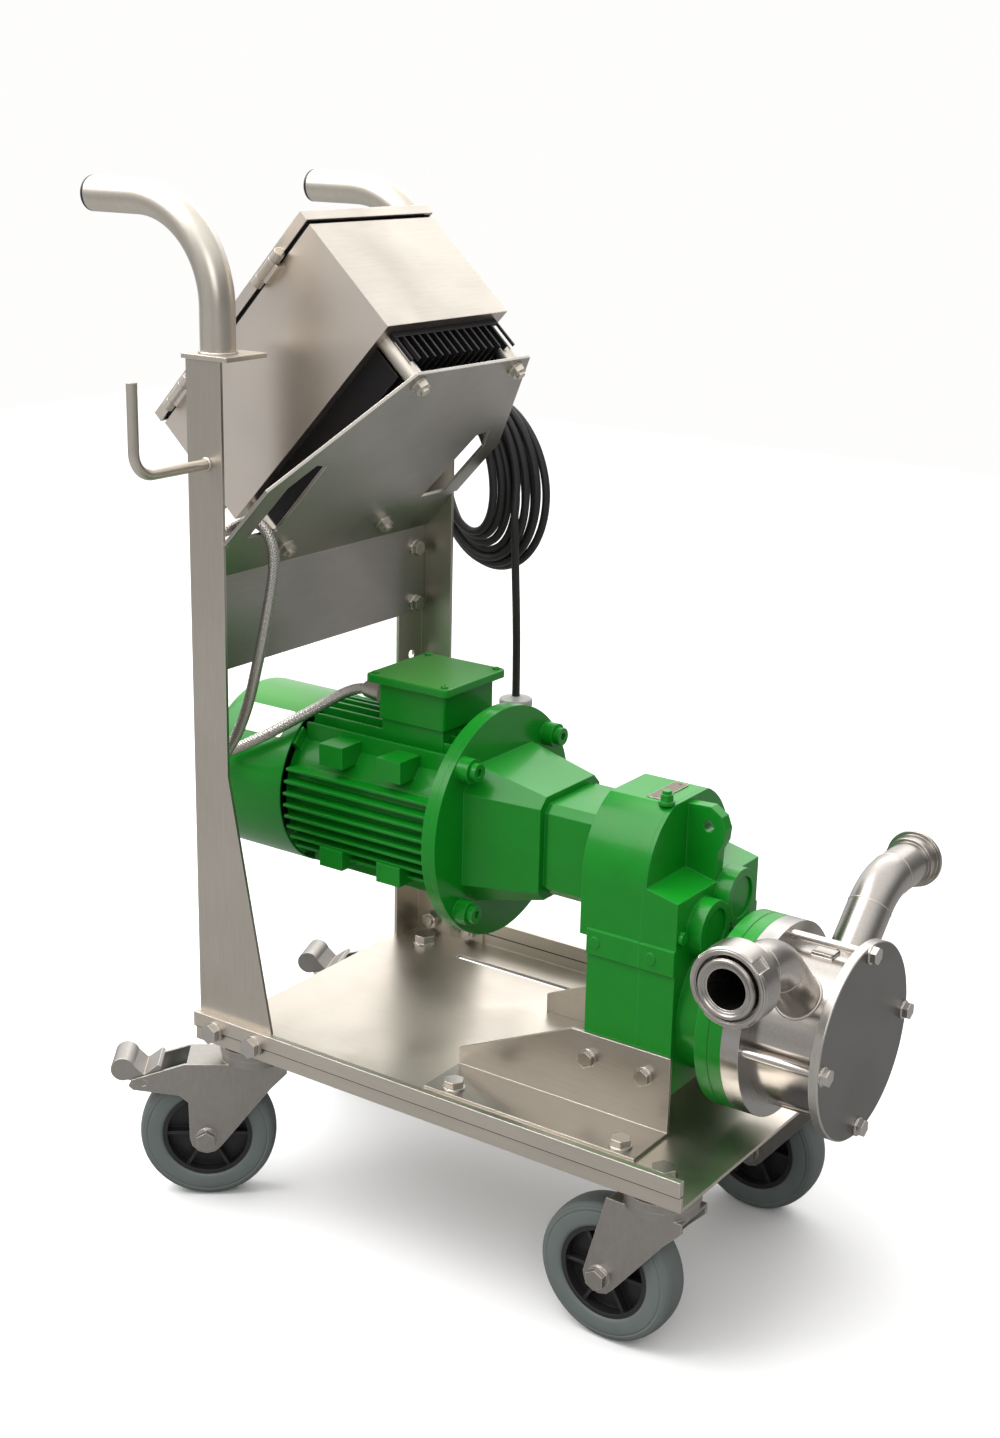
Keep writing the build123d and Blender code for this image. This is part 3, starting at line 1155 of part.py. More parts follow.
def side_bands(x0, x1, screw_x):
    """The thicker band along both long sides of the casing, with a flush screw."""
    band = block(x0, x1, -GEARBOX_HALF_WIDTH - BAND_DEPTH, -GEARBOX_HALF_WIDTH + 1, BAND_LOW_Z, BAND_HIGH_Z)
    middle = (BAND_LOW_Z + BAND_HIGH_Z) / 2
    face = -GEARBOX_HALF_WIDTH - BAND_DEPTH
    screw = rod_y(BAND_SCREW_RADIUS, face - 0.8, face + 1, screw_x, middle)
    return both_sides(band + screw)


BAND_SCREWS_X = (362, 416)
BAND_SCREW_RADIUS = 5


def side_bolt_holes():
    z = PLATE_TOP_Z + BRACKET_SIDE_BOLT_HEIGHT
    return [rod_y(M8_RADIUS, -GEARBOX_HALF_WIDTH * 2, GEARBOX_HALF_WIDTH * 2, x, z)
            for x in BRACKET_SIDE_BOLTS_X]


def gearbox_housing():
    """Front half of the casing: sloped ledge, torque lug, band, bearing bosses and output neck."""
    front = GEARBOX_FRONT_X
    half = GEARBOX_HALF_WIDTH
    shell = casing(0, GEARBOX_SPLIT_X, front)
    inner = casing(GEARBOX_WALL, GEARBOX_SPLIT_X - 1, front - GEARBOX_WALL)
    ledge_roof = side_plate(
        [(LEDGE_X - GEARBOX_WALL, LEDGE_REAR_Z - GEARBOX_WALL), (front + 1, LEDGE_FRONT_Z - GEARBOX_WALL),
         (front + 1, MOTOR_Z * 2), (LEDGE_X - GEARBOX_WALL, MOTOR_Z * 2)], -half - 1, half + 1)
    inner -= ledge_roof
    cut = side_plate([(LEDGE_X, LEDGE_REAR_Z), (front + 1, LEDGE_FRONT_Z), (front + 1, MOTOR_Z * 2),
                      (LEDGE_X, MOTOR_Z * 2)], -half - 1, half + 1)
    shell = shell - cut - inner
    top = MOTOR_Z + GEARBOX_TOP
    lug = side_plate([(LEDGE_X - 2, top - 4), (LEDGE_X + 21, top - 3), (LEDGE_X + 32, top - 10),
                      (LEDGE_X + 36, top - 20), (LEDGE_X + 35, top - 31), (LEDGE_X + 30, top - 40),
                      (LEDGE_X + 29, LEDGE_FRONT_Z), (LEDGE_X - 2, LEDGE_FRONT_Z)],
                     -LUG_THICKNESS / 2, LUG_THICKNESS / 2)
    lug -= rod_y(LUG_HOLE_RADIUS, -LUG_THICKNESS, LUG_THICKNESS, LEDGE_X + 20, top - 20)
    parts = [shell, lug]
    for y, z in (GEAR_A, GEAR_B):
        parts.append(rod_x(CAP_BOSS_RADIUS, front - 2, front + CAP_BOSS_LENGTH, y, z))
    neck = rod_x(OUTPUT_NECK_RADIUS, front, OUTPUT_FLANGE_X, *OUTPUT_AXIS)
    parts.append(neck)
    parts.extend(side_bands(GEARBOX_SPLIT_X, front, BAND_SCREWS_X[1]))
    housing = weld(parts)
    for y, z in (GEAR_A, GEAR_B):
        housing -= rod_x(LAYSHAFT_SEAT, front - GEARBOX_WALL - 1, front + 4, y, z)
        housing -= rod_x(CAP_RADIUS, front + 4, front + CAP_BOSS_LENGTH + 1, y, z)
    housing -= rod_x(OUTPUT_SEAT, front - GEARBOX_WALL - 1, front + 14, *OUTPUT_AXIS)
    housing -= rod_x(PUMP_SHAFT_RADIUS + 2, front, OUTPUT_FLANGE_X + 1, *OUTPUT_AXIS)
    return housing - side_bolt_holes()


def gearbox_caps():
    """Sealing caps of the two layshafts, the breather and the oil plug."""
    solids = []
    face = GEARBOX_FRONT_X + CAP_BOSS_LENGTH
    for y, z in (GEAR_A, GEAR_B):
        solids.append(rod_x(CAP_RADIUS - RUNNING, face - CAP_THICKNESS - 2, face - 2, y, z))
    top = MOTOR_Z + GEARBOX_TOP
    breather_plane = facing((BREATHER_X, BREATHER_Y, top), (0, 0, 1))
    breather = extrude(breather_plane * Circle(7), 3)
    breather += extrude(breather_plane * RegularPolygon(6, 6), 9)
    breather += extrude(breather_plane.offset(9) * Circle(4), 3)
    solids.append(breather)
    plug = rod_x(5.5, GEARBOX_FRONT_X, GEARBOX_FRONT_X + 4, PLUG_Y, PLUG_Z)
    solids.append(plug)
    return group(solids)


BREATHER_X = 400.5
BREATHER_Y = -29
PLUG_Y = -62
PLUG_Z = 335


def output_flange():
    """Adapter between the gearbox neck and the pump's back ring, with a seal chamber."""
    end = OUTPUT_FLANGE_X + OUTPUT_FLANGE_LENGTH
    disc = rod_x(PUMP_FLANGE_RADIUS, OUTPUT_FLANGE_X, end, *OUTPUT_AXIS)
    groove = ring_x(PUMP_FLANGE_RADIUS + 1, PUMP_FLANGE_RADIUS - 0.6,
                    OUTPUT_FLANGE_X + OUTPUT_FLANGE_LENGTH / 2 - 0.4,
                    OUTPUT_FLANGE_X + OUTPUT_FLANGE_LENGTH / 2 + 0.4, *OUTPUT_AXIS)
    chamber = rod_x(40, OUTPUT_FLANGE_X + 6, end + 1, *OUTPUT_AXIS)
    bore = rod_x(PUMP_SHAFT_RADIUS + 2, OUTPUT_FLANGE_X - 1, end, *OUTPUT_AXIS)
    return disc - groove - chamber - bore


# Pump

def back_ring():
    ring = rod_x(PUMP_FLANGE_RADIUS, RING_X, BARREL_X, *OUTPUT_AXIS)
    ring -= rod_x(SEAL_RADIUS, RING_X - 1, BARREL_X + 1, *OUTPUT_AXIS)
    return ring - [rod_x(COVER_STUD_RADIUS, RING_X + 4, BARREL_X + 1, y, z) for y, z in stud_places()]


def stud_places():
    return [(STUD_CIRCLE * cos(radians(a)), PUMP_Z + STUD_CIRCLE * sin(radians(a)))
            for a in (0, 90, 180, 270)]


def pump_seals():
    """Stationary half of the shaft seal in the back ring, and the cover's O-ring."""
    seat = ring_x(SEAL_RADIUS - RUNNING, PUMP_SHAFT_RADIUS + RUNNING, RING_X, BARREL_X, *OUTPUT_AXIS)
    cup = ring_x(SEAL_RADIUS + 5, PUMP_SHAFT_RADIUS + 4, RING_X - 9, RING_X, *OUTPUT_AXIS)
    circle = Circle(ORING_SECTION - RUNNING)
    section = Plane(origin=(COVER_X - ORING_SECTION, 0, PUMP_Z + ORING_RADIUS), z_dir=(0, 1, 0)) * circle
    oring = revolve(section, Axis((0, 0, PUMP_Z), (1, 0, 0)))
    return group([seat + cup, oring])


def port_points(side):
    """Centre line of a port pipe, from inside the barrel to its outer end."""
    slope = PORT_RISE / tan(radians(PORT_ANGLE))
    start = (BARREL_RADIUS - BARREL_WALL - 6)
    return [(PORT_X, side * start * cos(radians(PORT_ANGLE)), PUMP_Z + start * sin(radians(PORT_ANGLE))),
            (PORT_X, side * slope, PORT_Z), (PORT_X, side * PORT_REACH, PORT_Z)]


def port_sweep(side, radius, extra):
    points = port_points(side)
    last = points[-1]
    points[-1] = (last[0], last[1] + side * extra, last[2])
    path = FilletPolyline(*points, radius=PORT_BEND)
    start = Vector(*points[0])
    heading = Vector(*points[1]) - start
    return sweep(Plane(origin=start, z_dir=heading) * Circle(radius), path=path)


def pump_casing():
    """Barrel with cam, both port pipes, the union liner and the clamp ferrule, all welded."""
    inner = BARREL_RADIUS - BARREL_WALL
    barrel = rod_x(BARREL_RADIUS, BARREL_X, COVER_X, *OUTPUT_AXIS)
    pipes = weld([port_sweep(-1, PIPE_RADIUS, 0), port_sweep(1, PIPE_RADIUS, 0)])
    liner = rod_y(LINER_RADIUS, -PORT_REACH, -PORT_REACH + LINER_LENGTH, PORT_X, PORT_Z)
    rim_start = PORT_REACH - FERRULE_RIM
    rim = rod_y(FERRULE_RADIUS, rim_start, PORT_REACH, PORT_X, PORT_Z)
    neck = rod_y(FERRULE_NECK_RADIUS, rim_start - FERRULE_NECK, rim_start, PORT_X, PORT_Z)
    casing_body = weld([barrel, pipes, liner, rim, neck])
    liner_end = -PORT_REACH + LINER_LENGTH
    bores = [port_sweep(-1, PIPE_BORE, -LINER_LENGTH), port_sweep(1, PIPE_BORE, 1),
             rod_y(LINER_BORE, -PORT_REACH - 1, liner_end, PORT_X, PORT_Z)]
    hollow = rod_x(inner, BARREL_X - 1, COVER_X + 1, *OUTPUT_AXIS)
    casing_body = casing_body - bores - hollow
    plate = block(PORT_X - 9, PORT_X + 9, -8, 8, PUMP_Z + inner, PUMP_Z + BARREL_RADIUS + 2.5)
    cam = cam_wedge(inner)
    groove = ring_x(ORING_RADIUS + ORING_SECTION, ORING_RADIUS - ORING_SECTION,
                    COVER_X - 2 * ORING_SECTION, COVER_X + 1, *OUTPUT_AXIS)
    return casing_body + plate + cam - groove


def cam_wedge(inner):
    """Eccentric cam under the barrel's top that squeezes the vanes between the ports."""
    offset = CAM_DEPTH * 2
    blank = ring_x(inner + 1, inner - CAM_DEPTH, BARREL_X, COVER_X, *OUTPUT_AXIS)
    keep = cross_section([(0, PUMP_Z), (-inner * tan(radians(CAM_HALF_ANGLE)), PUMP_Z + inner),
                          (-inner * tan(radians(CAM_HALF_ANGLE)), PUMP_Z + inner + offset),
                          (inner * tan(radians(CAM_HALF_ANGLE)), PUMP_Z + inner + offset),
                          (inner * tan(radians(CAM_HALF_ANGLE)), PUMP_Z + inner)], BARREL_X, COVER_X)
    return blank & keep


def impeller():
    """Flexible impeller: hub and vanes that end in round bulbs."""
    x0 = BARREL_X + SEAT_GAP
    x1 = COVER_X - SEAT_GAP
    hub = rod_x(IMPELLER_HUB, x0, x1, *OUTPUT_AXIS)
    vanes = []
    reach = IMPELLER_TIP - VANE_BULB
    for index in range(IMPELLER_VANES):
        vane = block(x0, x1, IMPELLER_HUB - 2, reach, -VANE_THICKNESS / 2, VANE_THICKNESS / 2)
        vane += rod_x(VANE_BULB, x0, x1, reach, 0)
        vanes.append(Pos(0, 0, PUMP_Z) * Rot(index * 360 / IMPELLER_VANES + 22.5, 0, 0) * vane)
    return weld([hub] + vanes) - rod_x(PUMP_SHAFT_RADIUS, x0 - 1, COVER_X - 4, *OUTPUT_AXIS)


def pump_cover():
    disc = rod_x(PUMP_FLANGE_RADIUS, COVER_X, COVER_FACE_X, *OUTPUT_AXIS)
    disc = chamfer(disc.faces().sort_by(Axis.X)[-1].edges(), 0.8)
    return disc - [rod_x(COVER_STUD_RADIUS + BOLT_PLAY, COVER_X - 1, COVER_FACE_X + 1, y, z)
                   for y, z in stud_places()]


def cover_studs():
    """Four long bolts from the back ring to the cover, with hex heads outside."""
    solids = []
    for y, z in stud_places():
        front = facing((COVER_FACE_X, y, z), (1, 0, 0))
        solids.append(hex_bolt(front, COVER_STUD_RADIUS, M8_HEX, M8_HEAD, COVER_FACE_X - RING_X - 4))
    return group(solids)


def union_nut():
    """Slotted round nut that turns freely on the liner."""
    face = -PORT_REACH + UNION_SETBACK
    back = face + UNION_LENGTH
    nut = rod_y(UNION_RADIUS, face, back, PORT_X, PORT_Z)
    nut = chamfer(nut.edges().filter_by(GeomType.CIRCLE), 1.5)
    nut -= rod_y(UNION_THREAD, face - 1, back - UNION_LIP, PORT_X, PORT_Z)
    nut -= rod_y(PIPE_RADIUS + SEAT_GAP, face - 1, back + 1, PORT_X, PORT_Z)
    for index in range(UNION_SLOTS):
        slot = block(-5, 5, face - 1, face + 14, UNION_RADIUS - 2.2, UNION_RADIUS + 2)
        nut -= Pos(PORT_X, 0, PORT_Z) * Rot(0, 45 + index * 360 / UNION_SLOTS, 0) * slot
    return nut


UNION_SETBACK = 2


# Cords

def cord_path(points):
    """Straight runs joined by arcs as large as their runs allow."""
    vectors = [Vector(*point) for point in points]
    radii = []
    for before, here, after in zip(vectors, vectors[1:], vectors[2:]):
        turn = (here - before).get_angle(after - here)
        shorter = min((here - before).length, (after - here).length)
        radii.append(0.45 * shorter / tan(radians(turn / 2)))
    return FilletPolyline(*points, radius=radii), radii


def cord(name, points, radius):
    path, radii = cord_path(points)
    start = Vector(*points[0])
    tube = sweep(Plane(origin=start, z_dir=Vector(*points[1]) - start) * Circle(radius), path=path)
    section = pi * radius ** 2
    print(name, "length", round(path.length, 1), "smallest arc", round(min(radii), 1),
          "volume ratio", round(tube.volume / (section * path.length), 4))
    return tube


def gland_mouth(plane, dome):
    """Where a cord meets the bottom of its seat in a gland."""
    return tuple(plane.offset(5 + dome - GLAND_CORD_DEPTH).origin)


def beyond_gland(plane, dome, distance):
    return tuple(plane.offset(5 + dome + distance).origin)


def hose_points():
    start = box_gland_plane(HOSE_GLAND_Y)
    end = terminal_gland_plane()
    return [gland_mouth(start, GLAND_DOME), beyond_gland(start, GLAND_DOME, 10),
            (-70, -66, 611), (-64, -82, 606), (-49, -97, 607), (-30, -107, 611), (-12, -113, 616),
            (4, -115, 621), (18, -117, 628), (32, -120, 634), (46, -122, 633), (57, -122, 623),
            (61, -122, 606), (59, -122, 586), (53, -122, 560), (46, -122, 530), (39, -122, 505),
            (31, -120, 482), (22, -118, 460), (11, -117, 438), (-3, -117, 418), (-17, -114, 403),
            (-32, -105, 396), (-40, -94, 397), (-33, -86, 404), (-20, -82.5, 410), (-8, -78, 417),
            (4, -73, 424), (16, -66, 432), (28, -55, 441), (39, -43, 449), (49, -33, 457),
            (60, -25, 465), beyond_gland(end, TERMINAL_GLAND_DOME, 6),
            gland_mouth(end, TERMINAL_GLAND_DOME)]


def lead_points():
    start = box_gland_plane(LEAD_GLAND_Y)
    return [gland_mouth(start, GLAND_DOME), beyond_gland(start, GLAND_DOME, 10),
            (-71, 52, 612), (-66, 72, 606), (-52, 94, 606), (-36, 116, 613), (-19, 136, 625),
            (-5, 155, 636), (-5, COIL_Y - COIL_WIDTH / 2, 636)]


COIL_Y = 205
COIL_WIDTH = 56
COIL_THICKNESS = 34
COIL_OPENING_HALF = 28
COIL_OPENING_LENGTH = 120
COIL_X = HOOK_X + 16


def coil_arc_z():
    """Height of the centre of the opening's top arc, which rests on the hook off centre."""
    reach = COIL_OPENING_HALF - HOOK_RADIUS - SEAT_GAP
    return HOOK_Z - (reach ** 2 - (COIL_X - HOOK_X) ** 2) ** 0.5


def mains_coil():
    """The hanging coil's outer shape, one closed solid with its opening."""
    centre_z = coil_arc_z() + COIL_OPENING_HALF - COIL_OPENING_LENGTH / 2
    plane = Plane(origin=(COIL_X, COIL_Y - COIL_WIDTH / 2, centre_z), x_dir=(-1, 0, 0), z_dir=(0, 1, 0))
    outer = SlotOverall(COIL_OPENING_LENGTH + 2 * COIL_THICKNESS,
                        2 * (COIL_OPENING_HALF + COIL_THICKNESS), rotation=90)
    inner = SlotOverall(COIL_OPENING_LENGTH, 2 * COIL_OPENING_HALF, rotation=90)
    coil = extrude(plane * (outer - inner), COIL_WIDTH)
    return fillet(coil.edges(), COIL_ROUNDING)


COIL_ROUNDING = 9
DROP_X = 89
DROP_TOP_Z = 562.6
PLUG_TOP_Z = 404


def drop_points():
    return [(DROP_X, COIL_Y, DROP_TOP_Z), (DROP_X + 0.5, COIL_Y, DROP_TOP_Z - 45),
            (DROP_X + 2, COIL_Y + 0.5, DROP_TOP_Z - 98), (DROP_X + 2, COIL_Y + 0.5, PLUG_TOP_Z + 8)]


def mains_plug():
    """Round industrial plug hanging on the lead's end: collar, grip and shroud."""
    x = DROP_X + 2
    y = COIL_Y + 0.5
    collar = rod_z(PLUG_RADIUS - 6, PLUG_TOP_Z, PLUG_TOP_Z + 8, x, y)
    grip = rod_z(PLUG_RADIUS, PLUG_TOP_Z - 60, PLUG_TOP_Z, x, y)
    shroud = rod_z(PLUG_RADIUS + 6, PLUG_TOP_Z - 102, PLUG_TOP_Z - 60, x, y)
    shroud -= rod_z(PLUG_RADIUS + 2.5, PLUG_TOP_Z - 103, PLUG_TOP_Z - 72, x, y)
    pins = [rod_z(2.5, PLUG_TOP_Z - 98, PLUG_TOP_Z - 70, x + 12 * cos(radians(a)), y + 12 * sin(radians(a)))
            for a in (90, 210, 330)]
    return weld([collar, grip, shroud] + pins)


# Assembly

def castor_parts():
    parts = {}
    heads = []
    layout = [("front_near", FRONT_CASTOR_X, -CASTOR_Y, 0, False),
              ("rear_near", REAR_CASTOR_X, -CASTOR_Y, NEAR_REAR_SWIVEL, True),
              ("front_far", FRONT_CASTOR_X, CASTOR_Y, 0, False),
              ("rear_far", REAR_CASTOR_X, CASTOR_Y, FAR_REAR_SWIVEL, True)]
    for name, x, y, swivel, braked in layout:
        place = castor_frame(x, y, swivel)
        heads.append(castor_head(x, y))
        parts["fork_" + name] = group([place * solid for solid in castor_fork(braked).solids()])
        parts["wheel_centre_" + name] = place * wheel_centre()
        parts["tyre_" + name] = place * tyre()
        if braked:
            parts["brake_pedal_" + name] = place * brake_pedal()
    parts["castor_heads"] = group(heads)
    return parts


def all_parts():
    parts = {
        "base_tray": tray(),
        "posts": posts(),
        "handle_tubes": handles(),
        "handle_end_caps": handle_caps(),
        "cable_hooks": hooks(),
        "bracket_sheet": bracket_sheet(),
        "gearbox_brackets": gearbox_brackets(),
        "frame_bolts": frame_bolts(),
        "control_box": control_box(),
        "control_box_lid": box_lid(),
        "lid_gasket": lid_gasket(),
        "heat_sink": heat_sink(),
        "box_standoffs": box_standoffs(),
        "cable_glands": cable_glands(),
        "motor_housing": motor_housing(),
        "motor_flange": motor_flange(),
        "fan_cowl": fan_cowl(),
        "motor_stator": stator(),
        "motor_rotor": rotor(),
        "cooling_fan": cooling_fan(),
        "bearings": bearings(),
        "terminal_box": terminal_box(),
        "lantern": lantern(),
        "flange_screws": flange_screws(),
        "shaft_coupling": shaft_coupling(),
        "input_pinion_shaft": input_shaft(),
        "gear_cluster_a": gear_cluster_a(),
        "gear_cluster_b": gear_cluster_b(),
        "output_gear": output_gear(),
        "gearbox_cover": gearbox_cover(),
        "gearbox_housing": gearbox_housing(),
        "gearbox_caps": gearbox_caps(),
        "output_flange": output_flange(),
        "pump_back_ring": back_ring(),
        "pump_seals": pump_seals(),
        "pump_casing": pump_casing(),
        "impeller": impeller(),
        "pump_cover": pump_cover(),
        "cover_studs": cover_studs(),
        "union_nut": union_nut(),
        "motor_hose": cord("motor hose", hose_points(), HOSE_RADIUS),
        "mains_lead": cord("mains lead", lead_points(), LEAD_RADIUS),
        "mains_coil": mains_coil(),
        "mains_drop": cord("mains drop", drop_points(), LEAD_RADIUS),
        "mains_plug": mains_plug(),
    }
    parts.update(castor_parts())
    return parts


def main():
    os.makedirs("parts", exist_ok=True)
    shift = Pos(-ORIGIN_X, 0, 0)
    for name, shape in all_parts().items():
        solids = [shift * solid for solid in shape.solids()]
        placed = solids[0] if len(solids) == 1 else Compound(children=solids)
        placed.label = name
        export_step(placed, "parts/" + name + ".step")


main()
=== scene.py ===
# %% [markdown]
# # A pump on a trolley
# The trolley, motor, gearbox and pump come from the CAD model as a fixed frame. This lesson
# gives every part its finish and adds the soft and fine pieces: the braided hose, the coiled
# mains cable, weld beads, tyres and small trim. All lengths are in metres.

# %% Load the frame
from math import cos, pi, radians, sin

import bpy
from mathutils import Matrix, Vector


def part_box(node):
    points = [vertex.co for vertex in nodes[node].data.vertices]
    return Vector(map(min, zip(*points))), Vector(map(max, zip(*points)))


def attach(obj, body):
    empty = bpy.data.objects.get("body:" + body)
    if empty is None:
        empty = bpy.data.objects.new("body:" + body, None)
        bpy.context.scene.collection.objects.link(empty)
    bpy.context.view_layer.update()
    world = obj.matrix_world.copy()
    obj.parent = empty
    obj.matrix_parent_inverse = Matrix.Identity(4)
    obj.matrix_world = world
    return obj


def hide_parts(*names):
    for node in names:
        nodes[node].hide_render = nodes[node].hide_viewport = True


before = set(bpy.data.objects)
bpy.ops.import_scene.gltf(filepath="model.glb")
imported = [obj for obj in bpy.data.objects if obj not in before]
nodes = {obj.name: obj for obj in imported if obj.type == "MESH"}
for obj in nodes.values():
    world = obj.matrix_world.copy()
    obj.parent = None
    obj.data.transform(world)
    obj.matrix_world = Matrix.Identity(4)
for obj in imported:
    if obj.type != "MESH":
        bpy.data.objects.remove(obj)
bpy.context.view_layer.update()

# %% [markdown]
# ## The camera
# A product photographer stood to the right of the pump and a little above it. The camera is
# turned by three angles, round, up and rolled, which are easier to adjust than a matrix.

# %% Place the camera
CAMERA_PLACE = (0.93795, -1.3995, 0.9851)
CAMERA_ROUND = radians(34.39)
CAMERA_UP = radians(17.12)
CAMERA_ROLL = radians(1.31)
CAMERA_LENS = 50.66

back = Vector((sin(CAMERA_ROUND) * cos(CAMERA_UP), -cos(CAMERA_ROUND) * cos(CAMERA_UP), sin(CAMERA_UP)))
level = Vector((cos(CAMERA_ROUND), sin(CAMERA_ROUND), 0))
upright = back.cross(level)
right = level * cos(CAMERA_ROLL) + upright * sin(CAMERA_ROLL)
up = upright * cos(CAMERA_ROLL) - level * sin(CAMERA_ROLL)
camera_data = bpy.data.cameras.new("photo_camera")
camera_data.lens = CAMERA_LENS
camera = bpy.data.objects.new("photo_camera", camera_data)
camera.matrix_world = Matrix.Translation(CAMERA_PLACE) @ Matrix((right, up, back)).transposed().to_4x4()
bpy.context.scene.collection.objects.link(camera)
bpy.context.scene.camera = camera
print("camera at", CAMERA_PLACE)

# %% [markdown]
# ## Lines for the cables
# A cable bends smoothly, so each one follows a NURBS spline through a few given points. A curve
# with a bevel is already a round cable. A second helper reads the same spline as a row of points,
# for pieces that wind round it or sit along it.

# %% Make a smooth line
def show(obj):
    """Puts a new object into the scene."""
    bpy.context.scene.collection.objects.link(obj)
    return obj


def smooth_line(name, places, radius=0.0, fineness=6):
    """A NURBS curve with these points as its control points."""
    curve = bpy.data.curves.new(name, "CURVE")
    curve.dimensions = "3D"
    curve.bevel_depth = 1.0 if radius else 0.0
    curve.bevel_resolution = 4
    curve.use_fill_caps = radius > 0
    spline = curve.splines.new("NURBS")
    spline.points.add(len(places) - 1)
    for point, place in zip(spline.points, places):
        point.co = (*place, 1.0)
        point.radius = radius
    spline.order_u = 3
    spline.use_endpoint_u = True
    spline.resolution_u = fineness
    return show(bpy.data.objects.new(name, curve))


def read_line(places, fineness=12):
    """The points of the NURBS spline through these control points, and its length."""
    guide = smooth_line("guide", places, fineness=fineness)
    mesh = bpy.data.meshes.new_from_object(guide.evaluated_get(bpy.context.evaluated_depsgraph_get()))
    points = [vertex.co.copy() for vertex in mesh.vertices]
    bpy.data.meshes.remove(mesh)
    bpy.data.objects.remove(guide)
    return points, sum((b - a).length for a, b in zip(points, points[1:]))


# %% [markdown]
# ## The mains cable
# The cable leaves the control box, winds about six loose turns over the far hook, three more on
# top of them, and hangs down to its plug behind the motor. The lower turns grow from the near
# side to the far side, so they fan out as in the photograph, and the upper ones lie on them on
# the way back.

# %% Route the mains cable
CABLE_DIAMETER = 0.008
HOOK_TOP = 0.6919
HOOK_GAP = 0.0012
NEAR_TURN_Y = 0.183
TURN_PITCH = 0.0080
BACK_PITCH = 0.0092
TURNS_OUT = 6.3
TURNS_IN_ALL = 9.5
LAYER = 0.0094
CLIMB_TURNS = 0.4
COIL_X = -0.1950
COIL_LEAN = 0.009
NEAR_HALF_WIDTH = 0.0285
HALF_WIDTH_GROWTH = 0.027
SIDE_SWAY = 0.0012
NEAR_BOTTOM = 0.580
BOTTOM_DROP = 0.038
BOTTOM_SWAY = 0.0025
POINTS_A_TURN = 16
CORNER_CUT = 1.02

lead_points = [
    (-0.28119, 0.040, 0.63902), (-0.29211, 0.040, 0.62732), (-0.30405, 0.052, 0.612),
    (-0.29905, 0.072, 0.606), (-0.28505, 0.094, 0.606), (-0.26905, 0.116, 0.613),
    (-0.25205, 0.136, 0.623), (-0.23700, 0.155, 0.633), (-0.22700, 0.171, 0.642),
]
drop_points = [
    (-0.14450, 0.1985, 0.600), (-0.14350, 0.1990, 0.575), (-0.14350, 0.2015, 0.540),
    (-0.14305, 0.2040, 0.500), (-0.14205, 0.2050, 0.455), (-0.14205, 0.2055, 0.412),
]


def coil_place(turn):
    """Where the cable is after so many turns, counted from the left side, going up."""
    if turn < TURNS_OUT:
        y = NEAR_TURN_Y + TURN_PITCH * turn
    else:
        y = NEAR_TURN_Y + TURN_PITCH * TURNS_OUT - BACK_PITCH * (turn - TURNS_OUT)
    share = (y - NEAR_TURN_Y) / (TURN_PITCH * TURNS_OUT)
    layer = LAYER * min(max((turn - TURNS_OUT + CLIMB_TURNS / 2) / CLIMB_TURNS, 0), 1)
    half_width = NEAR_HALF_WIDTH + HALF_WIDTH_GROWTH * share + SIDE_SWAY * sin(9 * share) + layer
    bottom = NEAR_BOTTOM - BOTTOM_DROP * share + BOTTOM_SWAY * sin(7 * share) - layer
    top = HOOK_TOP + CABLE_DIAMETER / 2 + HOOK_GAP + layer
    angle = 2 * pi * turn - pi / 2
    x = COIL_X - COIL_LEAN * cos(angle) + half_width * CORNER_CUT * sin(angle)
    z = (top + bottom) / 2 + (top - bottom) / 2 * CORNER_CUT * cos(angle)
    return (x, y, z)


steps = round(TURNS_IN_ALL * POINTS_A_TURN)
coil_points = [coil_place(step / POINTS_A_TURN) for step in range(steps + 1)]
cable_points = lead_points + coil_points + drop_points
cable_length = read_line(cable_points)[1]
mains_cable = smooth_line("mains_cable", cable_points, CABLE_DIAMETER / 2)
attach(mains_cable, "trolley")
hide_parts("mains_lead", "mains_coil", "mains_drop")
print("mains cable, length", round(cable_length, 3), "m")

# %% [markdown]
# ## The braided motor hose
# The motor's cable runs in a hose with a braid of bright wire. A real braid is two sets of flat
# bands that wind round the hose in opposite directions and pass over and under each other. The
# bands are made here as thin strips that follow the hose's line, so the braid stays real in a
# close view.

# %% Route the motor hose
hose_points = [
    (-0.28119, -0.052, 0.63902), (-0.29211, -0.052, 0.62732), (-0.30305, -0.066, 0.611),
    (-0.29705, -0.082, 0.606), (-0.28205, -0.097, 0.607), (-0.26305, -0.107, 0.611),
    (-0.24505, -0.113, 0.616), (-0.22905, -0.115, 0.621), (-0.21505, -0.117, 0.628),
    (-0.20105, -0.120, 0.634), (-0.18705, -0.122, 0.633), (-0.17605, -0.122, 0.623),
    (-0.17205, -0.122, 0.606), (-0.17405, -0.122, 0.586), (-0.18005, -0.122, 0.560),
    (-0.18705, -0.122, 0.530), (-0.19405, -0.122, 0.505), (-0.20205, -0.120, 0.482),
    (-0.21105, -0.118, 0.460), (-0.22205, -0.117, 0.438), (-0.23605, -0.117, 0.418),
    (-0.25005, -0.114, 0.403), (-0.26505, -0.105, 0.396), (-0.27305, -0.094, 0.397),
    (-0.26605, -0.086, 0.404), (-0.25305, -0.0825, 0.410), (-0.24105, -0.078, 0.417),
    (-0.22905, -0.073, 0.424), (-0.21705, -0.066, 0.432), (-0.20505, -0.055, 0.441),
    (-0.19405, -0.043, 0.449), (-0.18405, -0.033, 0.457), (-0.17305, -0.025, 0.465),
    (-0.15705, -0.022, 0.4715), (-0.14505, -0.022, 0.4715),
]
hose_line, hose_length = read_line(hose_points)
print("motor hose, length", round(hose_length, 3), "m")


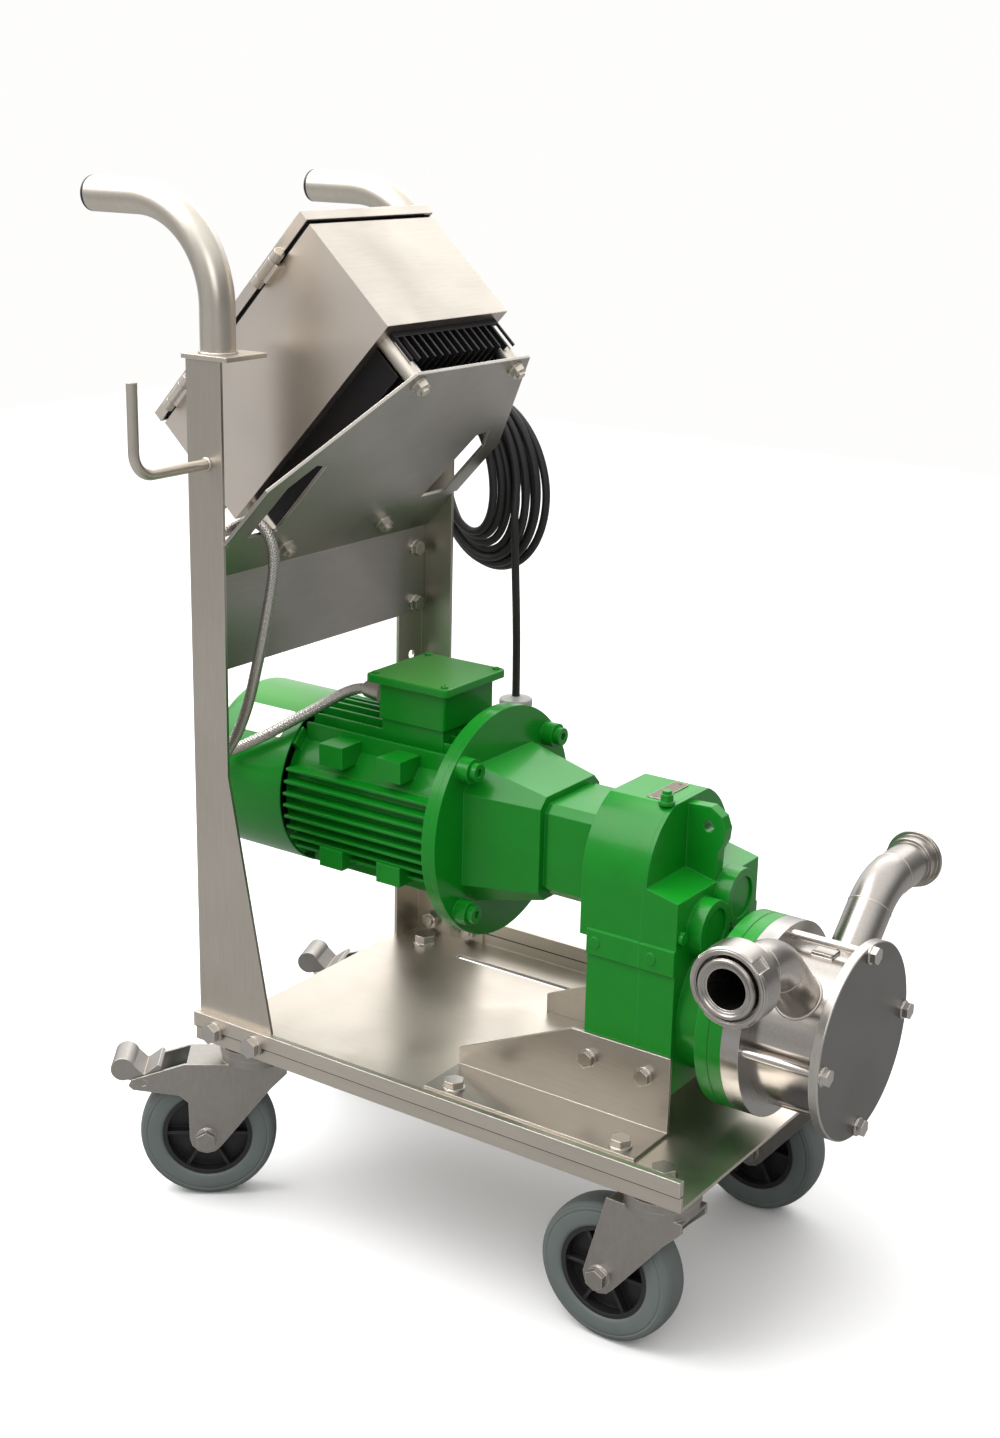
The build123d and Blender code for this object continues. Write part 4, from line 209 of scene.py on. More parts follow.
# %% Carry a frame along a line
def even_points(points, spacing):
    """Points at one spacing along a row of points."""
    reached = [0.0]
    for a, b in zip(points, points[1:]):
        reached.append(reached[-1] + (b - a).length)
    count = max(2, round(reached[-1] / spacing))
    found = []
    at = 0
    for step in range(count + 1):
        distance = reached[-1] * step / count
        while at < len(points) - 2 and reached[at + 1] < distance:
            at += 1
        share = (distance - reached[at]) / max(reached[at + 1] - reached[at], 1e-9)
        found.append(points[at].lerp(points[at + 1], min(max(share, 0), 1)))
    return found


def frames_along(points):
    """At each point, two directions across the line that never twist suddenly."""
    last = len(points) - 1
    ahead = [(points[min(i + 1, last)] - points[max(i - 1, 0)]).normalized() for i in range(last + 1)]
    side = ahead[0].orthogonal().normalized()
    frames = []
    for direction in ahead:
        side = (side - direction * side.dot(direction)).normalized()
        frames.append((side.copy(), direction.cross(side)))
    return frames


def mesh_piece(name, vertices, faces, material, body, slot, smooth=True):
    """A finished mesh at the origin that rides on a body and has one finish."""
    mesh = bpy.data.meshes.new(name)
    mesh.from_pydata([tuple(v) for v in vertices], [], faces)
    mesh.validate()
    mesh.polygons.foreach_set("use_smooth", [smooth] * len(mesh.polygons))
    mesh.update()
    obj = show(bpy.data.objects.new(name, mesh))
    mesh.materials.append(material)
    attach(obj, body)
    return obj


def tube_faces(rings, around):
    """Faces of a closed tube whose rings of vertices follow each other."""
    faces = []
    for ring in range(rings - 1):
        for step in range(around):
            a = ring * around + step
            b = ring * around + (step + 1) % around
            faces.append((a, b, b + around, a + around))
    faces.append(tuple(reversed(range(around))))
    faces.append(tuple((rings - 1) * around + step for step in range(around)))
    return faces


print("line helpers ready")

# %% [markdown]
# ## Finishes
# Every finish is a node material. What several finishes share is a node group: the grain of
# brushed sheet, smudges, rounded edges, the skin of a casting, the rings that a lathe leaves,
# the faces that look one way and a thin seam. A group hands out masks, heights and normals only,
# and the shader stays in the material.

# %% Small helpers for node trees
FLOAT = "NodeSocketFloat"
VECTOR = "NodeSocketVector"
SHADER_TREE = "ShaderNodeTree"
GEOMETRY_TREE = "GeometryNodeTree"
SOCKET_KINDS = {"Normal": VECTOR, "Geometry": "NodeSocketGeometry", "Material": "NodeSocketMaterial",
                "Head": "NodeSocketObject"}


def feed(made, inputs):
    """Fills a node's inputs, by name or number, with values or with other nodes' outputs."""
    for key, value in inputs.items():
        if isinstance(value, bpy.types.NodeSocket):
            made.id_data.links.new(value, made.inputs[key])
        else:
            made.inputs[key].default_value = value
    return made


def add(tree, kind, inputs=None, **settings):
    """A node of this kind with these inputs and settings."""
    made = tree.nodes.new(kind)
    for name, value in settings.items():
        setattr(made, name, value)
    return feed(made, inputs or {})


def calc(tree, operation, *values, **settings):
    """The result of one sum, whose values are numbers or other nodes' outputs."""
    return add(tree, "ShaderNodeMath", dict(enumerate(values)), operation=operation, **settings).outputs[0]


def vector_calc(tree, operation, *values, result="Vector"):
    """The same for vectors; some sums give a plain value."""
    return add(tree, "ShaderNodeVectorMath", dict(enumerate(values)), operation=operation).outputs[result]


def spread(tree, value, low, high, to_low=0.0, to_high=1.0, **settings):
    """A value's range mapped to another range, held at its ends."""
    ends = {"From Min": low, "From Max": high, "To Min": to_low, "To Max": to_high}
    return add(tree, "ShaderNodeMapRange", {"Value": value, **ends}, **settings).outputs["Result"]


def noise(tree, inputs, **settings):
    """The clouds of a noise texture."""
    return add(tree, "ShaderNodeTexNoise", inputs, **settings).outputs["Fac"]


def object_place(tree, kind="Object"):
    """The place on the object, which moves with it."""
    return add(tree, "ShaderNodeTexCoord").outputs[kind]


def new_tree(name, kind, outputs, **inputs):
    """An empty tree with these outputs and inputs, what it is given and the node that it ends in."""
    tree = bpy.data.node_groups.new(name, kind)
    for label in outputs:
        tree.interface.new_socket(name=label, in_out="OUTPUT", socket_type=SOCKET_KINDS.get(label, FLOAT))
    for label, value in inputs.items():
        value_kind = VECTOR if isinstance(value, tuple) else FLOAT
        socket = tree.interface.new_socket(name=label.replace("_", " "), in_out="INPUT",
                                           socket_type=SOCKET_KINDS.get(label, value_kind))
        if value is not None:
            socket.default_value = value
    return tree, tree.nodes.new("NodeGroupInput").outputs, tree.nodes.new("NodeGroupOutput")


print("node helpers ready")

# %% The grain of brushed sheet: noise that is squeezed across its lines
grain_group, given, end = new_tree("brushed_grain", SHADER_TREE, ("Shade", "Height"),
                                   Stretch=(40, 900, 900), Fine_Stretch=(90, 2600, 2600))
place = object_place(grain_group)
grains = []
for label in ("Stretch", "Fine Stretch"):
    squeezed = vector_calc(grain_group, "MULTIPLY", place, given[label])
    grains.append(noise(grain_group, {"Vector": squeezed, "Scale": 1.0, "Detail": 2.0, "Roughness": 0.55}))
middle_grain = calc(grain_group, "MULTIPLY", calc(grain_group, "ADD", *grains), 0.5)
feed(end, {"Shade": grains[0], "Height": middle_grain})
print("group", grain_group.name)

# %% Smudges: large and small clouds, for hand marks and uneven rolling
smudge_group, given, end = new_tree("smudges", SHADER_TREE, ("Mask",), Scale=9.0)
clouds = noise(smudge_group, {"Vector": object_place(smudge_group), "Scale": given["Scale"],
                              "Roughness": 0.5, "Detail": 5.0, "Distortion": 0.6})
feed(end, {"Mask": spread(smudge_group, clouds, 0.32, 0.68)})
print("group", smudge_group.name)

# %% Rounded edges: a normal that rounds them for the light, and a mask of where they are, which paints a highlight colour on them
edge_group, given, end = new_tree("rounded_edges", SHADER_TREE, ("Normal", "Mask"), Radius=0.0008)
rounded = add(edge_group, "ShaderNodeBevel", {"Radius": given["Radius"]}, samples=4).outputs["Normal"]
true_normal = add(edge_group, "ShaderNodeNewGeometry").outputs["Normal"]
agreement = vector_calc(edge_group, "DOT_PRODUCT", rounded, true_normal, result="Value")
feed(end, {"Normal": rounded, "Mask": spread(edge_group, agreement, 0.995, 0.9)})
print("group", edge_group.name)

# %% The skin of a casting: fine pitting and a slow waviness
GRIT_SHARE = 0.35
cast_group, given, end = new_tree("cast_skin", SHADER_TREE, ("Height", "Shade"), Grit=900.0, Wave=60.0)
place = object_place(cast_group)
grit = noise(cast_group, {"Vector": place, "Scale": given["Grit"], "Detail": 3.0, "Roughness": 0.6})
wave = noise(cast_group, {"Vector": place, "Scale": given["Wave"], "Detail": 2.0})
feed(end, {"Height": calc(cast_group, "MULTIPLY_ADD", grit, GRIT_SHARE, wave), "Shade": wave})
print("group", cast_group.name)

# %% The rings of a lathe, round an axis along X, as a facing tool leaves them
BROAD_BANDS = 0.09
turned_group, given, end = new_tree("turned_rings", SHADER_TREE, ("Height", "Shade"),
                                    Centre=(0, 0, 0), Rings_a_Metre=1400.0)
away = vector_calc(turned_group, "SUBTRACT", object_place(turned_group), given["Centre"])
flat = vector_calc(turned_group, "MULTIPLY", away, (0, 1, 1))
radius = vector_calc(turned_group, "LENGTH", flat, result="Value")
rings = calc(turned_group, "MULTIPLY", radius, given["Rings a Metre"])
bands = calc(turned_group, "MULTIPLY", rings, BROAD_BANDS)
feed(end, {
    "Height": noise(turned_group, {"W": rings, "Scale": 1.0, "Detail": 3.0}, noise_dimensions="1D"),
    "Shade": noise(turned_group, {"W": bands, "Scale": 1.0, "Detail": 2.0}, noise_dimensions="1D"),
})
print("group", turned_group.name)

# %% Painted light and shade on faces that look one way, and a painted shadow in a thin level seam where a folded hem ends
painted_side_light_group, given, end = new_tree("facing_faces", SHADER_TREE, ("Mask",), Towards=(1, 0, 0))
facing = vector_calc(painted_side_light_group, "DOT_PRODUCT", object_place(painted_side_light_group, "Normal"), given["Towards"],
                     result="Value")
feed(end, {"Mask": spread(painted_side_light_group, facing, 0.8, 0.95)})
# Painted shadow: a mask for a thin dark line where the folded hem's gap leaves shade.
seam_shadow_group, given, end = new_tree("level_seam", SHADER_TREE, ("Mask",), Height=0.17, Half_Width=0.0005)
level_here = add(seam_shadow_group, "ShaderNodeSeparateXYZ", {0: object_place(seam_shadow_group)}).outputs["Z"]
feed(end, {"Mask": calc(seam_shadow_group, "COMPARE", level_here, given["Height"], given["Half Width"])})
print("groups", painted_side_light_group.name, "and", seam_shadow_group.name)

# %% [markdown]
# ## A material builder
# The real finishes differ in colour, in how sharp their gloss is and in what marks them. One
# builder takes a base colour, a darker or lighter second colour, a range of roughness and the
# group that marks the surface, and joins them to one Principled shader.

# %% Build a finish
# The seam colour below is a painted shadow for the gap under a folded hem.
SEAM_SHADOW_COLOUR = (0.05, 0.046, 0.042)
SMUDGE_SHARE = 0.5
COAT_WORN = 0.7


def place_group(tree, group, values):
    """Puts a group into a material with its own values and gives what it hands out."""
    return add(tree, "ShaderNodeGroup", values, node_tree=group).outputs


def mix_colour(tree, mask, *colours):
    """Two colours mixed by a mask; each is a colour or another node's output."""
    first, second = [(*colour, 1) if isinstance(colour, tuple) else colour for colour in colours]
    mixed = add(tree, "ShaderNodeMix", {"Factor": mask, "A": first, "B": second}, data_type="RGBA")
    return mixed.outputs["Result"]


def finish(name, colour, second, rough, marks, mark_height, metallic=0.0, edge=0.0008, edge_colour=None,
           smudge_scale=9.0, coat=0.0, dark_line=None, faced=None, **shader_values):
    """A Principled material with marks, smudges, rounded edges, a painted edge highlight, painted light and
    shade on faces that look one way and a painted seam shadow.
    """
    material = bpy.data.materials.new(name)
    material.use_nodes = True
    tree = material.node_tree
    marked = place_group(tree, *marks)
    smudges = place_group(tree, smudge_group, {"Scale": smudge_scale})["Mask"]
    rounded = place_group(tree, edge_group, {"Radius": edge})
    smudge_shade = calc(tree, "MULTIPLY_ADD", smudges, SMUDGE_SHARE, -SMUDGE_SHARE / 2)
    shade = calc(tree, "ADD", marked["Shade"], smudge_shade, use_clamp=True)
    base = mix_colour(tree, shade, colour, second)
    # Painted light and shade: faces that look one way get a lighter or darker colour.
    if faced:
        towards, side_light_colour = faced
        facing = place_group(tree, painted_side_light_group, {"Towards": towards})
        base = mix_colour(tree, facing["Mask"], base, side_light_colour)
    # Painted highlight: rounded edges get a lighter colour, as they catch the light.
    if edge_colour:
        base = mix_colour(tree, rounded["Mask"], base, edge_colour)
    # Painted shadow: a thin dark line along a seam, where the gap leaves shade.
    if dark_line:
        seam = place_group(tree, seam_shadow_group, dict(zip(("Height", "Half Width"), dark_line)))
        base = mix_colour(tree, seam["Mask"], base, SEAM_SHADOW_COLOUR)
    bump = add(tree, "ShaderNodeBump", {"Strength": 1.0, "Distance": mark_height,
                                        "Height": marked["Height"], "Normal": rounded["Normal"]})
    if coat:
        shader_values["Coat Weight"] = spread(tree, smudges, 0, 1, coat, coat * COAT_WORN)
    feed(tree.nodes["Principled BSDF"], {
        "Metallic": metallic, "Base Color": base, "Roughness": spread(tree, smudges, 0, 1, *rough),
        "Normal": bump.outputs["Normal"],
        **{label.replace("_", " "): value for label, value in shader_values.items()}})
    return material


print("finish builder ready")

# %% [markdown]
# ## Stainless steel
# The sheet parts are brushed: fine lines run along the sheet's length and spread the light
# across them. The sheet has a warm tone. Each part gets the same steel with its grain along its
# own length, so the tray, the uprights and the sloping box catch the light differently. The tray
# is painted lighter, as painted light on its top, and the gearbox brackets darker, as painted shade.

# %% Brushed sheet
STEEL = (0.60, 0.555, 0.49)
STEEL_DARK = (0.50, 0.46, 0.405)
# The edge colour is a painted highlight for the sheet's edges.
STEEL_EDGE_HIGHLIGHT = (0.86, 0.80, 0.72)
FINE_TIMES = 2.7
ALONG_X = (26, 700, 700)
ALONG_Y = (700, 26, 700)
ALONG_Z = (700, 700, 26)
# The tray gets a painted shadow line at the hem's foot.
HEM_FOOT = 0.1710
SEAM_SHADOW_HALF_WIDTH = 0.0006


def brushed(name, stretch, rough=(0.30, 0.42), colour=STEEL, second=STEEL_DARK, height=0.00004, **more):
    """Brushed stainless steel with its grain along the axis that is stretched least."""
    fine = tuple(value * FINE_TIMES for value in stretch)
    return finish(name, colour, second, rough, (grain_group, {"Stretch": stretch, "Fine Stretch": fine}),
                  height, metallic=1.0, edge=0.0010, edge_colour=STEEL_EDGE_HIGHLIGHT, **more)


# The tray's steel is painted lighter than the other sheet, as painted light on its top.
steel_tray = brushed("steel_tray", ALONG_X, colour=(0.70, 0.64, 0.565), second=(0.60, 0.55, 0.48),
                     dark_line=(HEM_FOOT, SEAM_SHADOW_HALF_WIDTH))
# The brackets' steel is painted darker, as painted shade.
steel_along_x = brushed("steel_grain_along_tray", ALONG_X, colour=(0.50, 0.465, 0.42),
                        second=(0.42, 0.39, 0.35))
# The box's faces towards the near side get a lighter colour as a painted highlight.
steel_case = brushed("steel_case", ALONG_Y, faced=((0, -1, 0), (0.84, 0.765, 0.69)))
# The bracket sheet's steel is painted darker, as painted shade.
steel_along_y = brushed("steel_grain_across_tray", ALONG_Y, colour=(0.465, 0.44, 0.405),
                        second=(0.385, 0.365, 0.335))
steel_upright = brushed("steel_grain_upright", ALONG_Z)
steel_tube = brushed("steel_tube", (300, 300, 60), (0.32, 0.42), (0.70, 0.65, 0.575),
                     (0.62, 0.575, 0.505), 0.00002)
steel_pressed = brushed("steel_pressed", (260, 260, 120), (0.30, 0.44), (0.45, 0.425, 0.395),
                        (0.36, 0.34, 0.315), 0.00003)
print("brushed steels made")

# %% [markdown]
# ## Machined steel of the pump
# The pump is finer than the frame: turned faces with rings, a satin barrel and bright bolts.

# %% Machined and bright steel
cover_low, cover_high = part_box("pump_cover")
PUMP_AXIS = tuple((cover_low + cover_high) / 2)
# The machined edge colour is a painted highlight.
MACHINED_EDGE_HIGHLIGHT = (0.82, 0.79, 0.75)

steel_turned = finish("steel_turned", (0.50, 0.478, 0.455), (0.40, 0.383, 0.365), (0.24, 0.34),
                      (turned_group, {"Centre": PUMP_AXIS, "Rings a Metre": 2600.0}), 0.00002, metallic=1.0,
                      edge_colour=MACHINED_EDGE_HIGHLIGHT, Anisotropic=0.5)
# The cover's front face is painted dark, a painted reflection of the darker room in front of it.
cover_steel = finish("cover_steel", (0.62, 0.59, 0.55), (0.5, 0.475, 0.445), (0.30, 0.42),
                     (grain_group, {"Stretch": (500, 500, 30), "Fine Stretch": (1400, 1400, 80)}), 0.000012,
                     metallic=1.0, faced=((1, 0, 0), (0.20, 0.195, 0.185)), edge=0.0012,
                     edge_colour=MACHINED_EDGE_HIGHLIGHT)
steel_satin = brushed("steel_satin", (420, 420, 420), (0.20, 0.32), (0.51, 0.48, 0.445),
                      (0.42, 0.395, 0.37), 0.000012)
steel_bolt = brushed("steel_bolt", (500, 500, 500), (0.2, 0.3), (0.62, 0.58, 0.54),
                     (0.5, 0.47, 0.44), 0.00001)
steel_gear = brushed("steel_gear", (600, 600, 600), (0.26, 0.36), (0.5, 0.5, 0.5),
                     (0.42, 0.42, 0.42), 0.00001)
nickel = brushed("nickel", (300, 300, 300), (0.2, 0.3), (0.62, 0.58, 0.52), (0.5, 0.47, 0.42), 0.00001)
iron = finish("dark_iron", (0.12, 0.115, 0.11), (0.18, 0.17, 0.16), (0.4, 0.55), (cast_group, {}), 0.0001,
              metallic=0.9)
print("machined steels made")

# %% [markdown]
# ## Green enamel
# Motor, gearbox and the distance flange are painted after assembly in one glossy green. On the
# castings the paint shows the rough skin below it, on the cowl and the terminal box it is
# smoother. What faces up is painted paler, as painted light.

# %% Paint
GREEN = (0.0015, 0.205, 0.009)
GREEN_LIGHT = (0.003, 0.245, 0.013)
# The edge green is a painted highlight.
GREEN_EDGE_HIGHLIGHT = (0.02, 0.31, 0.045)


def enamel(name, grit, height, rough, on_top):
    """Glossy green paint over a casting or over smooth sheet, with painted light making what faces up paler.
    """
    return finish(name, GREEN, GREEN_LIGHT, rough, (cast_group, {"Grit": grit, "Wave": 45.0}), height,
                  edge=0.0016, edge_colour=GREEN_EDGE_HIGHLIGHT, coat=0.36, faced=((0, 0, 1), on_top),
                  Coat_Roughness=0.15, Specular_IOR_Level=0.22)


# The last colour of each is painted light on what faces up.
green_cast = enamel("green_cast", 700.0, 0.00022, (0.30, 0.42), (0.005, 0.30, 0.016))
green_smooth = enamel("green_smooth", 300.0, 0.00006, (0.26, 0.36), (0.065, 0.345, 0.05))
print("enamel made")

# %% [markdown]
# ## Rubber and plastic
# Tyres are grey, non-marking rubber with a dusty bloom. Cable, caps and wheel centres are black.

# %% Rubber, plastic and coatings
def moulded(name, colour, second, rough, height, grit=900.0, wave=60.0, **more):
    """Rubber or plastic with the fine skin of its mould."""
    return finish(name, colour, second, rough, (cast_group, {"Grit": grit, "Wave": wave}), height, **more)


tyre_rubber = moulded("grey_tyre_rubber", (0.163, 0.190, 0.180), (0.133, 0.155, 0.148), (0.52, 0.66), 0.00008,
                      1500.0, 30.0, smudge_scale=26.0, edge_colour=(0.34, 0.355, 0.365))
black_plastic = moulded("black_plastic", (0.012, 0.011, 0.012), (0.022, 0.02, 0.021), (0.32, 0.46), 0.00004,
                        2200.0, 90.0, edge_colour=(0.05, 0.048, 0.05))
cable_rubber = moulded("cable_rubber", (0.018, 0.017, 0.018), (0.030, 0.028, 0.029), (0.40, 0.54), 0.00005,
                       1800.0, 80.0)
seal_rubber = moulded("seal_rubber", (0.02, 0.02, 0.022), (0.035, 0.035, 0.037), (0.5, 0.62), 0.00005)
impeller_rubber = moulded("impeller_rubber", (0.03, 0.10, 0.27), (0.02, 0.075, 0.21), (0.4, 0.55), 0.00006,
                          1600.0, 70.0)
plug_plastic = moulded("plug_plastic", (0.42, 0.42, 0.39), (0.36, 0.36, 0.335), (0.36, 0.5), 0.00004,
                       1500.0, 60.0)
black_coating = finish("black_coating", (0.012, 0.011, 0.012), (0.02, 0.018, 0.019), (0.42, 0.55),
                       (grain_group, {}), 0.00003, metallic=0.6, edge_colour=(0.06, 0.057, 0.06))
print("rubber and plastic made")

# %% [markdown]
# ## Dress the CAD nodes
# Each node of the frame gets one finish in its own material slots. Its mesh stays as it is.

# %% Give each node its finish
CASTORS = {
    "front_near": (0.23795, -0.130, 0),
    "rear_near": (-0.19505, -0.130, 37),
    "front_far": (0.23795, 0.130, 0),
    "rear_far": (-0.19505, 0.130, 22),
}


def at_castors(what):
    """The names of one kind of node at all castors."""
    return [what + "_" + castor for castor in CASTORS]


NODE_FINISH = {
    steel_tray: ("base_tray",),
    steel_along_x: ("gearbox_brackets",),
    steel_along_y: ("bracket_sheet",),
    steel_case: ("control_box", "control_box_lid"),
    steel_upright: ("posts",),
    steel_tube: ("handle_tubes", "cable_hooks", "box_standoffs"),
    steel_pressed: ("castor_heads", "brake_pedal_rear_near", "brake_pedal_rear_far", *at_castors("fork")),
    steel_turned: ("pump_back_ring",),
    cover_steel: ("pump_cover",),
    steel_satin: ("pump_casing", "union_nut"),
    steel_bolt: ("frame_bolts", "cover_studs"),
    steel_gear: ("motor_rotor", "bearings", "input_pinion_shaft", "gear_cluster_a", "gear_cluster_b",
                 "output_gear", "shaft_coupling"),
    iron: ("motor_stator",),
    nickel: ("cable_glands",),
    green_cast: ("motor_housing", "motor_flange", "lantern", "gearbox_cover", "gearbox_housing",
                 "gearbox_caps", "output_flange", "flange_screws"),
    green_smooth: ("fan_cowl", "terminal_box"),
    black_coating: ("heat_sink",),
    black_plastic: ("handle_end_caps", "cooling_fan", *at_castors("wheel_centre")),
    seal_rubber: ("lid_gasket", "pump_seals"),
    tyre_rubber: at_castors("tyre"),
    impeller_rubber: ("impeller",),
    plug_plastic: ("mains_plug",),
    cable_rubber: ("mains_lead", "mains_coil", "mains_drop"),
}


def give_finish(obj, material):
    """Puts one material in all of an object's slots."""
    if not obj.data.materials:
        obj.data.materials.append(material)
    for slot in range(len(obj.data.materials)):
        obj.data.materials[slot] = material


for material, names in NODE_FINISH.items():
    for name in names:
        give_finish(nodes[name], material)
give_finish(mains_cable, cable_rubber)
print("finishes given to", sum(len(names) for names in NODE_FINISH.values()), "nodes")

# %% [markdown]
# ## Wind the braid
# Sixteen bands wind round the hose, eight each way. Each band's height above the hose follows a
# wave, so that it passes over one crossing and under the next. A dark tube below closes the gaps.

# %% Braid the hose
BANDS_EACH_WAY = 8
BRAID_PITCH = 0.022
BAND_WIDTH = 0.0017
BAND_LIFT = 0.00032
BAND_CLEARANCE = 1.2
BAND_SPREAD = 0.8
BAND_SLANT = 0.45
HOSE_CORE = 0.0042
BRAID_STEP = 0.0011

braid_wire = finish("braid_wire", (0.74, 0.70, 0.66), (0.55, 0.52, 0.49), (0.2, 0.32),
                    (grain_group, {"Stretch": (900, 900, 900), "Fine Stretch": (2600, 2600, 2600)}),
                    0.00003, metallic=1.0, edge=0.0002)


def braid(points, core, band_width, lift, pitch, bands):
    """Vertices and faces of flat bands that wind both ways round a line."""
    frames = frames_along(points)
    spacing = (points[1] - points[0]).length
    vertices = []
    faces = []
    for way in (1, -1):
        for band in range(bands):
            first = len(vertices)
            for step, (point, (side, over)) in enumerate(zip(points, frames)):
                turn = 2 * pi * (band / bands + way * step * spacing / pitch)
                wave = cos(bands * 2 * pi * step * spacing / pitch + pi * band) * way
                radius = core + lift * (BAND_CLEARANCE + wave)
                ahead = side.cross(over)
                for offset, rise in ((-0.5, 0.0), (-0.25, lift), (0.25, lift), (0.5, 0.0)):
                    angle = turn + offset * band_width / core * BAND_SPREAD
                    slide = -way * offset * band_width * BAND_SLANT
                    out = side * cos(angle) + over * sin(angle)
                    vertices.append(point + out * (radius + rise) + ahead * slide)
            for step in range(len(points) - 1):
                for edge in range(3):
                    a = first + step * 4 + edge
                    quad = (a, a + 1, a + 5, a + 4)
                    faces.append(quad if way > 0 else quad[::-1])
    return vertices, faces


def round_tube(points, radii, around=12):
    """Vertices and faces of a closed tube whose radius may change along it."""
    vertices = []
    for point, radius, (side, over) in zip(points, radii, frames_along(points)):
        for step in range(around):
            angle = 2 * pi * step / around
            vertices.append(point + (side * cos(angle) + over * sin(angle)) * radius)
    return vertices, tube_faces(len(points), around)


braid_points = even_points(hose_line, BRAID_STEP)
core_vertices, core_faces = round_tube(braid_points, [HOSE_CORE] * len(braid_points), around=10)
band_vertices, band_faces = braid(braid_points, HOSE_CORE, BAND_WIDTH, BAND_LIFT, BRAID_PITCH,
                                  BANDS_EACH_WAY)
hose_vertices = core_vertices + band_vertices
hose_faces = core_faces + [tuple(v + len(core_vertices) for v in face) for face in band_faces]
motor_hose = mesh_piece("motor_hose_braid", hose_vertices, hose_faces, braid_wire, "trolley", "braid")
motor_hose.data.materials.append(cable_rubber)
for face in motor_hose.data.polygons[:len(core_faces)]:
    face.material_index = 1
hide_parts("motor_hose")
print("braid has", len(band_faces), "small faces")

# %% [markdown]
# ## Turned pieces
# Tyres, the plug and small rivets are round about one axis, as if a lathe had turned them. Each
# is an outline of radii and heights that is swept once round, which gives clean rings of faces
# and lets a groove or a ridge be one more pair of numbers.

# %% Turn an outline round an axis
MM = 0.001


def turned(outline, centre, axis, around=48, ring=False):
    """Vertices and faces of an outline of (radius, height) turned round an axis."""
    axis = Vector(axis).normalized()
    side = axis.orthogonal().normalized()
    over = axis.cross(side)
    vertices = []
    starts = []
    for radius, height in outline:
        starts.append((len(vertices), radius == 0))
        middle = Vector(centre) + axis * height
        if radius == 0:
            vertices.append(middle)
            continue
        for step in range(around):
            angle = 2 * pi * step / around
            vertices.append(middle + (side * cos(angle) + over * sin(angle)) * radius)
    faces = []
    following = starts[1:] + starts[:1] if ring else starts[1:]
    for (a, a_pole), (b, b_pole) in zip(starts, following):
        for step in range(around):
            after = (step + 1) % around
            if a_pole:
                faces.append((a, b + after, b + step))
            elif b_pole:
                faces.append((a + step, a + after, b))
            else:
                faces.append((a + step, a + after, b + after, b + step))
    return vertices, faces


def together(shapes):
    """Vertices and faces of several shapes as one."""
    vertices = []
    faces = []
    for shape_vertices, shape_faces in shapes:
        first = len(vertices)
        vertices += shape_vertices
        faces += [tuple(v + first for v in face) for face in shape_faces]
    return vertices, faces


def in_mm(outline):
    """An outline in millimetres, turned into metres."""
    return [(radius * MM, height * MM) for radius, height in outline]


print("lathe ready")

# %% [markdown]
# ## Tyres
# The grey tyres are moulded: a flat wall with a thin ring near the shoulder, a rounded shoulder
# with two fine lines and a crowned tread. One outline serves all four wheels.

# %% Mould the tyres
WHEEL_RADIUS = 62.5
TYRE_SEAT = 41.0
CASTOR_TRAIL = 0.044
TYRE_WALL = (
    (TYRE_SEAT, 14.0), (42.0, 15.2), (44.0, 15.7), (53.6, 15.95), (54.4, 15.7), (54.8, 15.0), (55.2, 15.6),
    (57.6, 15.1), (58.2, 14.5), (58.6, 14.75), (60.0, 13.3), (60.4, 12.7), (60.8, 12.6), (61.7, 9.6),
    (62.2, 6.4), (WHEEL_RADIUS, 2.4),
)
tyre_outline = in_mm([(radius, -width) for radius, width in TYRE_WALL] + list(reversed(TYRE_WALL)))
for castor, (x, y, swivel) in CASTORS.items():
    turn = radians(swivel)
    hub = (x - CASTOR_TRAIL * cos(turn), y - CASTOR_TRAIL * sin(turn), WHEEL_RADIUS * MM)
    rubber = turned(tyre_outline, hub, (-sin(turn), cos(turn), 0), around=96, ring=True)
    tyre = mesh_piece("moulded_tyre_" + castor, *rubber, tyre_rubber, "wheel_" + castor, "grey_tyre")
    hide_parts("tyre_" + castor)
print("four tyres moulded")

# %% [markdown]
# ## The plug
# The mains cable ends in a round industrial plug: a light clamping collar, a ribbed grip and a
# wide shroud round three pins. It hangs behind the motor, where the camera sees only its collar.

# %% Turn the plug
PLUG_PLACE = (-0.14205, 0.2055, 0.0)
GRIP_RIBS = 9
RIB_PITCH = 5.6
LOWEST_RIB = 348
PIN_CIRCLE = 0.012
PIN = [(0, 306), (1.8, 306), (2.5, 307.5), (2.5, 333), (0, 333)]
plug_outline = [(0, 332), (20.5, 332), (20.5, 303), (21.5, 302), (23.2, 302), (24, 303), (24, 339),
                (22.6, 343), (18, 346)]
for rib in range(GRIP_RIBS):
    low = LOWEST_RIB + rib * RIB_PITCH
    plug_outline += [(18, low), (18, low + 3), (17, low + 3.6), (17, low + 5)]
plug_outline += [(17, 399.5), (14, 402.5), (12.5, 403.5), (16.0, 404), (16.6, 404.8), (16.6, 410.4),
                 (15.6, 411.6), (9, 412.2), (6.2, 413), (4.3, 414), (0, 414)]
plug_shapes = [turned(in_mm(plug_outline), PLUG_PLACE, (0, 0, 1))]
plug_x, plug_y, plug_foot = PLUG_PLACE
for degrees in (90, 210, 330):
    angle = radians(degrees)
    pin_place = (plug_x + PIN_CIRCLE * cos(angle), plug_y + PIN_CIRCLE * sin(angle), plug_foot)
    plug_shapes.append(turned(in_mm(PIN), pin_place, (0, 0, 1), around=16))
plug = mesh_piece("mains_plug_turned", *together(plug_shapes), plug_plastic, "trolley", "plug_grey",
                  smooth=False)
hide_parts("mains_plug")
print("plug turned,", len(plug.data.polygons), "faces")

